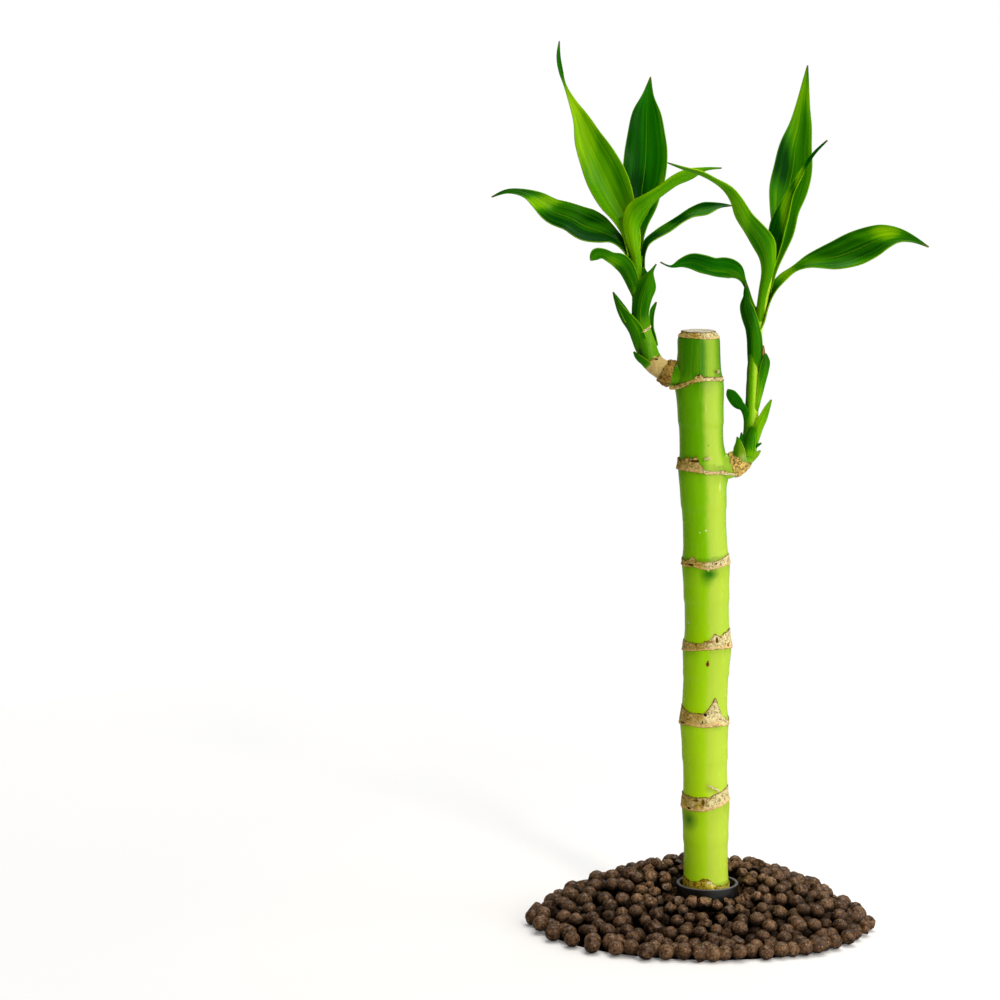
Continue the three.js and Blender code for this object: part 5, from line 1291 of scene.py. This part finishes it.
def make_cup():
    cup = new_ring("black_cup", 96, CUP_FOOT_RADIUS * MM)
    draw_up((0, 0, CUP_HEIGHT * MM))
    grow = CUP_RIM_RADIUS / CUP_FOOT_RADIUS
    stretch((grow, grow, 1), (0, 0, CUP_HEIGHT * MM))
    bpy.ops.mesh.inset(thickness=CUP_WALL * MM)
    draw_up((0, 0, (CUP_FLOOR - CUP_HEIGHT) * MM))
    shrink = (CUP_FOOT_RADIUS - CUP_WALL) / (CUP_RIM_RADIUS - CUP_WALL)
    stretch((shrink, shrink, 1), (0, 0, CUP_FLOOR * MM))
    mend_normals(cup)
    apply_modifier(cup, "BEVEL", width=CUP_BEVEL * MM, segments=3, limit_method="ANGLE",
                   angle_limit=math.radians(40))
    shade(cup, 35)
    return cup


def make_compost():
    """A disc of crumbs round the cane, inside the cup's wall."""
    compost = new_ring("cup_compost", 72, SOIL_RADIUS * MM, (0, 0, SOIL_FOOT * MM))
    draw_up((0, 0, (SOIL_TOP - SOIL_FOOT) * MM))
    grow = 1 + SOIL_GROWTH / SOIL_RADIUS
    stretch((grow, grow, 1), (0, 0, SOIL_TOP * MM))
    inset_rings(SOIL_RINGS)
    mend_normals(compost)
    return finish_surface(compost, 1, (0.0016, 0.0009, 4), angle=50)


# ---------------------------- heap of pellets

HEAP_CENTRE = Vector((-3.4, 1.5))
HEAP_REACH = Vector((75, 54))
HEAP_EDGE = 3.6
HEAP_RISE = 19.2
HEAP_BACK_RISE = 0.82
HEAP_RIGHT_RISE = 0.12
HEAP_DIP = 3.0
HEAP_DIP_WIDTH = 8.0
PELLET_RADIUS = 3.8
BROKEN_ZONE = (26, 4)  # from this far off the cup in to this close, pellets get small and broken
ZONE_RAGGED = 6
NEAR_SHRINK = 0.3
SIZE_SPREAD = (0.9, 1.07)
HEIGHT_SPREAD = (-1.1, 0.7)
# The share of broken pellets far from the cup, and how much more of them there are against it.
BROKEN_SHARE, BROKEN_MORE = 0.08, 0.85
# Tone of the clay from 0 to 1: its middle, its spread, how much paler it is at the cup, the limit.
CLAY_TONE, CLAY_SPREAD, CLAY_PALER, CLAY_PALEST = 0.24, 0.2, 0.3, 0.95
CORE_RINGS = 14
CORE_SHRINK, CORE_SHADE = 0.95, 0.97
CORE_DEPTH = 3.4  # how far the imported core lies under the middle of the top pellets
# Pellets that show in the outline of the heap, where the photograph has them: x, y, z, radius.
OUTLINE_PELLETS = [
    (-78.2, -1.9, 3.7, 3.7), (-67.7, -26.2, 3.7, 3.8), (-58.9, -34.7, 3.7, 3.8), (-49.8, -43.1, 3.8, 3.9),
    (-39.3, -46.8, 3.6, 3.6), (-26.1, -51.6, 4.1, 4.1), (-17.5, -51.2, 3.7, 3.7), (-2.8, -51.6, 3.8, 3.8),
    (7.6, -50.5, 3.6, 3.6), (19.2, -45.7, 3.4, 3.4), (27.4, -42.2, 3.6, 3.6), (40.6, -35.3, 4, 4),
    (47.2, -30.3, 3.4, 3.4), (54.5, -22.2, 3.8, 3.8), (64.9, -15.4, 3.8, 3.9), (71.5, -0.3, 3.7, 3.7),
]
# Broken pellets that lie against the cup.
CUP_PELLETS = [
    (-12.4, -15.5, 15.6, 3), (-7, -17.8, 16.2, 3.1), (-1.4, -18.3, 16.5, 3.3), (4.3, -17.6, 15, 2.8),
    (9.6, -15.4, 15.6, 2.9), (14.4, -12, 15.4, 3.1), (-16.3, -10.5, 15, 2.9), (17.4, -6.5, 15.4, 3),
    (-18.2, -4.5, 14.2, 3), (18.5, 0, 16, 3.1), (-18, 1.5, 14.8, 3),
]
# Layers of pellets: depth, spacing as a share of touching, tries.
PELLET_LAYERS = [(0.0, 0.9, 9000), (3.2, 0.82, 5000)]
LAYER_SPACING = 0.62  # between a deeper layer and the ones above it
# Kinds of pellets: how many, the least and the most stretch, size and depth of the dents, first seed.
PELLET_KINDS = {"round": (6, 0.93, 1.05, 0.9, 0.2, 40), "broken": (12, 0.8, 1.1, 0.6, 1.25, 50)}


def heap_shares(x, y):
    return (x - HEAP_CENTRE.x) / HEAP_REACH.x, (y - HEAP_CENTRE.y) / HEAP_REACH.y


def heap_level(x, y):
    """Height of the middle of the top pellets at a place, in mm."""
    across, back = heap_shares(x, y)
    lean = 1 + HEAP_BACK_RISE * back + HEAP_RIGHT_RISE * across
    rise = HEAP_RISE * max(0, 1 - across * across - back * back) * lean
    from_cup = max(0, math.hypot(x, y) - CUP_RIM_RADIUS)
    return HEAP_EDGE + rise - HEAP_DIP * math.exp(-from_cup / HEAP_DIP_WIDTH)


def lay_pellets():
    """Drops pellets at random where there is room: the top layer, then smaller gaps under it."""
    chance = random.Random(12)
    laid = [(Vector(row[:3]), row[3], 0.0) for row in OUTLINE_PELLETS]
    laid += [(Vector(row[:3]), row[3], 1.0) for row in CUP_PELLETS]
    for depth, spacing, tries in PELLET_LAYERS:
        layer = [] if depth else list(laid)
        for _ in range(tries):
            x = HEAP_CENTRE.x + HEAP_REACH.x * chance.uniform(-1, 1)
            y = HEAP_CENTRE.y + HEAP_REACH.y * chance.uniform(-1, 1)
            from_cup = math.hypot(x, y) - CUP_RIM_RADIUS
            near = smooth_step(*BROKEN_ZONE, from_cup + chance.uniform(-ZONE_RAGGED, ZONE_RAGGED))
            size = PELLET_RADIUS * chance.uniform(*SIZE_SPREAD) * (1 - NEAR_SHRINK * near)
            if math.hypot(*heap_shares(x, y)) > 1 or from_cup < size + CUP_GAP:
                continue
            height = heap_level(x, y) + chance.uniform(*HEIGHT_SPREAD) - depth
            place = Vector((x, y, max(height, size)))
            crowded = any((place - other).length < share * (size + radius)
                          for others, share in ((layer, spacing), (laid if depth else [], LAYER_SPACING))
                          for other, radius, _ in others)
            if not crowded:
                layer.append((place, size, near))
                laid.append((place, size, near))
    return laid


def make_pellet_kinds():
    """A few round pellets and a few broken ones, each modelled once."""
    kinds = {}
    chance = random.Random(31)
    for sort, (count, least, most, size, dent, seed) in PELLET_KINDS.items():
        kinds[sort] = []
        for index in range(count):
            bpy.ops.mesh.primitive_ico_sphere_add(subdivisions=2, radius=1, location=(0, 0, 0))
            pellet = named(f"{sort}_pellet_{index}")
            start_shaping(pellet)
            stretch([chance.uniform(least, most) for _ in range(3)], (0, 0, 0))
            roughen(pellet, size, dent, seed + index)
            kinds[sort].append(pellet)
    return kinds


def make_pellets():
    kinds = make_pellet_kinds()
    chance = random.Random(5)
    copies = []
    for place, size, near in lay_pellets():
        sort = "broken" if chance.random() < BROKEN_SHARE + BROKEN_MORE * near else "round"
        mesh = chance.choice(kinds[sort]).data.copy()
        tilt = [Matrix.Rotation(chance.uniform(0, FULL_TURN), 3, axis) for axis in "XYZ"]
        mesh.transform(Matrix.LocRotScale(place * MM, tilt[0] @ tilt[1] @ tilt[2], Vector((size * MM,) * 3)))
        lowest = min(point.co.z for point in mesh.vertices)
        mesh.transform(Matrix.Translation((0, 0, max(0, -lowest))))
        tone = min(max(chance.gauss(CLAY_TONE, CLAY_SPREAD) + CLAY_PALER * near, 0), CLAY_PALEST)
        store(mesh, "clay_tone", [tone] * len(mesh.vertices))
        # Painted shade: each pellet darkens towards its underside, and buried ones all over, less so at the
        # open edge of the heap.
        buried = smooth_step(1.5, 5, heap_level(place.x, place.y) - place.z)
        open_side = smooth_step(0.86, 1.0, math.hypot(*heap_shares(place.x, place.y)))
        shades = []
        for point in mesh.vertices:
            up = (point.co.z / MM - place.z) / size
            under = smooth_step(0.62 - 0.8 * open_side, -0.4 - 0.3 * open_side, up)
            shades.append(min(max(under * (1 - 0.3 * open_side), 0.9 * buried), 1))
        store(mesh, "gap_shade", shades)
        copies.append(bpy.data.objects.new("pellet", mesh))
        bpy.context.scene.collection.objects.link(copies[-1])
    for pattern in kinds["round"] + kinds["broken"]:
        bpy.data.objects.remove(pattern)
    take(copies[0])
    for copy in copies:
        copy.select_set(True)
    bpy.ops.object.join()
    heap = named("clay_pellets")
    shade(heap, 36)
    return heap


def make_heap_core():
    """Packed pellets under the ones that show, as one low dome with room for the cup, painted almost black as
    painted shade.
    """
    core = new_ring("heap_core", 96, 1, (0, 0, BENCH))
    draw_up((0, 0, 1))
    for ring in range(CORE_RINGS, 1, -1):
        draw_up((0, 0, 1))
        stretch(((ring - 1) / ring,) * 2 + (1,), (0, 0, 0))
    clear_bench()
    for point in core.data.vertices:
        x = HEAP_CENTRE.x + point.co.x * HEAP_REACH.x * CORE_SHRINK
        y = HEAP_CENTRE.y + point.co.y * HEAP_REACH.y * CORE_SHRINK
        height = max(0.6, heap_level(x, y) - CORE_DEPTH) if point.co.z > BENCH + 0.5 else 0
        point.co = Vector((x, y, height)) * MM
    mend_normals(core)
    paint_points(core, "gap_shade", lambda place: CORE_SHADE)
    bpy.ops.mesh.primitive_cylinder_add(vertices=96, radius=(CUP_RIM_RADIUS + CUP_GAP) * MM, depth=0.1,
                                        location=(0, 0, 0))
    cutter = bpy.context.active_object
    apply_modifier(core, "BOOLEAN", operation="DIFFERENCE", object=cutter, solver="EXACT")
    bpy.data.objects.remove(cutter)
    shade(core)
    return core


# ---------------------------- making it all

place_camera()
light_the_studio()

bpy.ops.mesh.primitive_circle_add(vertices=96, radius=FLOOR_RADIUS, fill_type="NGON", location=(0, 0, 0))
floor = named("studio_floor")
floor.data.materials.append(floor_finish())
floor.visible_glossy = False  # keeps the white paper out of the glossy skins

SKIN, SHOOT = cane_finish(), shoot_finish()
HUSK = husk_finish("dry_sheath", (255, 240, 176), (204, 168, 40), (104, 66, 0), (255, 204, 130),
                   size=850.0, depth=0.0004)
FOOT_HUSK = husk_finish("foot_husk", (250, 232, 96), (196, 170, 16), (92, 52, 0), (190, 140, 30),
                        size=600.0, depth=0.0006)
BARK = husk_finish("shoot_bark", (250, 212, 116), (118, 82, 10), (50, 26, 0), (190, 150, 70),
                   size=520.0, depth=0.0006)
CLAY, CORE = pellet_finish("burnt_clay", 0.3), pellet_finish("packed_clay_in_shade", 0.0)
LEAF_FINISHES = {look: leaf_finish(name, *tones) for look, (name, _, *tones) in LEAF_LOOKS.items()}

hand_in(make_cane(), SKIN, "cane_green", "cane")
for seed, (node, edge) in enumerate(SCARS.items()):
    hand_in(make_scar(node, edge, seed), FOOT_HUSK if node == "scar_7" else HUSK, "sheath_tan", node)
for name, (node, line) in BUDS.items():
    hand_in(make_bud(name, line), HUSK, "sheath_tan", node)
for side in ("left", "right"):
    hand_in(make_stem(side), SHOOT, "shoot_green", f"{side}_stem")
    hand_in(make_sleeve(f"{side}_bark_collar"), BARK, "bark_brown", f"{side}_bark")
    hand_in(make_sleeve(f"{side}_shoot_neck"), SKIN, "cane_green", "cane")
hand_in(make_dry_ring(), HUSK, "sheath_tan", "left_stem")
for seed, (name, look, root_face, tip_face, wave, rows) in enumerate(LEAVES):
    blade = make_leaf(name, root_face, tip_face, wave, rows, seed)
    hand_in(blade, LEAF_FINISHES[look], LEAF_LOOKS[look][1], TIP_OF.get(name, name))
hand_in(make_wax(), wax_finish(), "wax", "wax_seal")
hand_in(make_cup(), cup_finish(), "cup_black", "holder_cup")
hand_in(make_compost(), soil_finish(), "soil_dark", "cup_soil")
hand_in(make_heap_core(), CORE, "pellet_clay", "pellet_heap")
hand_in(make_pellets(), CLAY, "pellet_clay", "pellet_heap")

clear_bench()
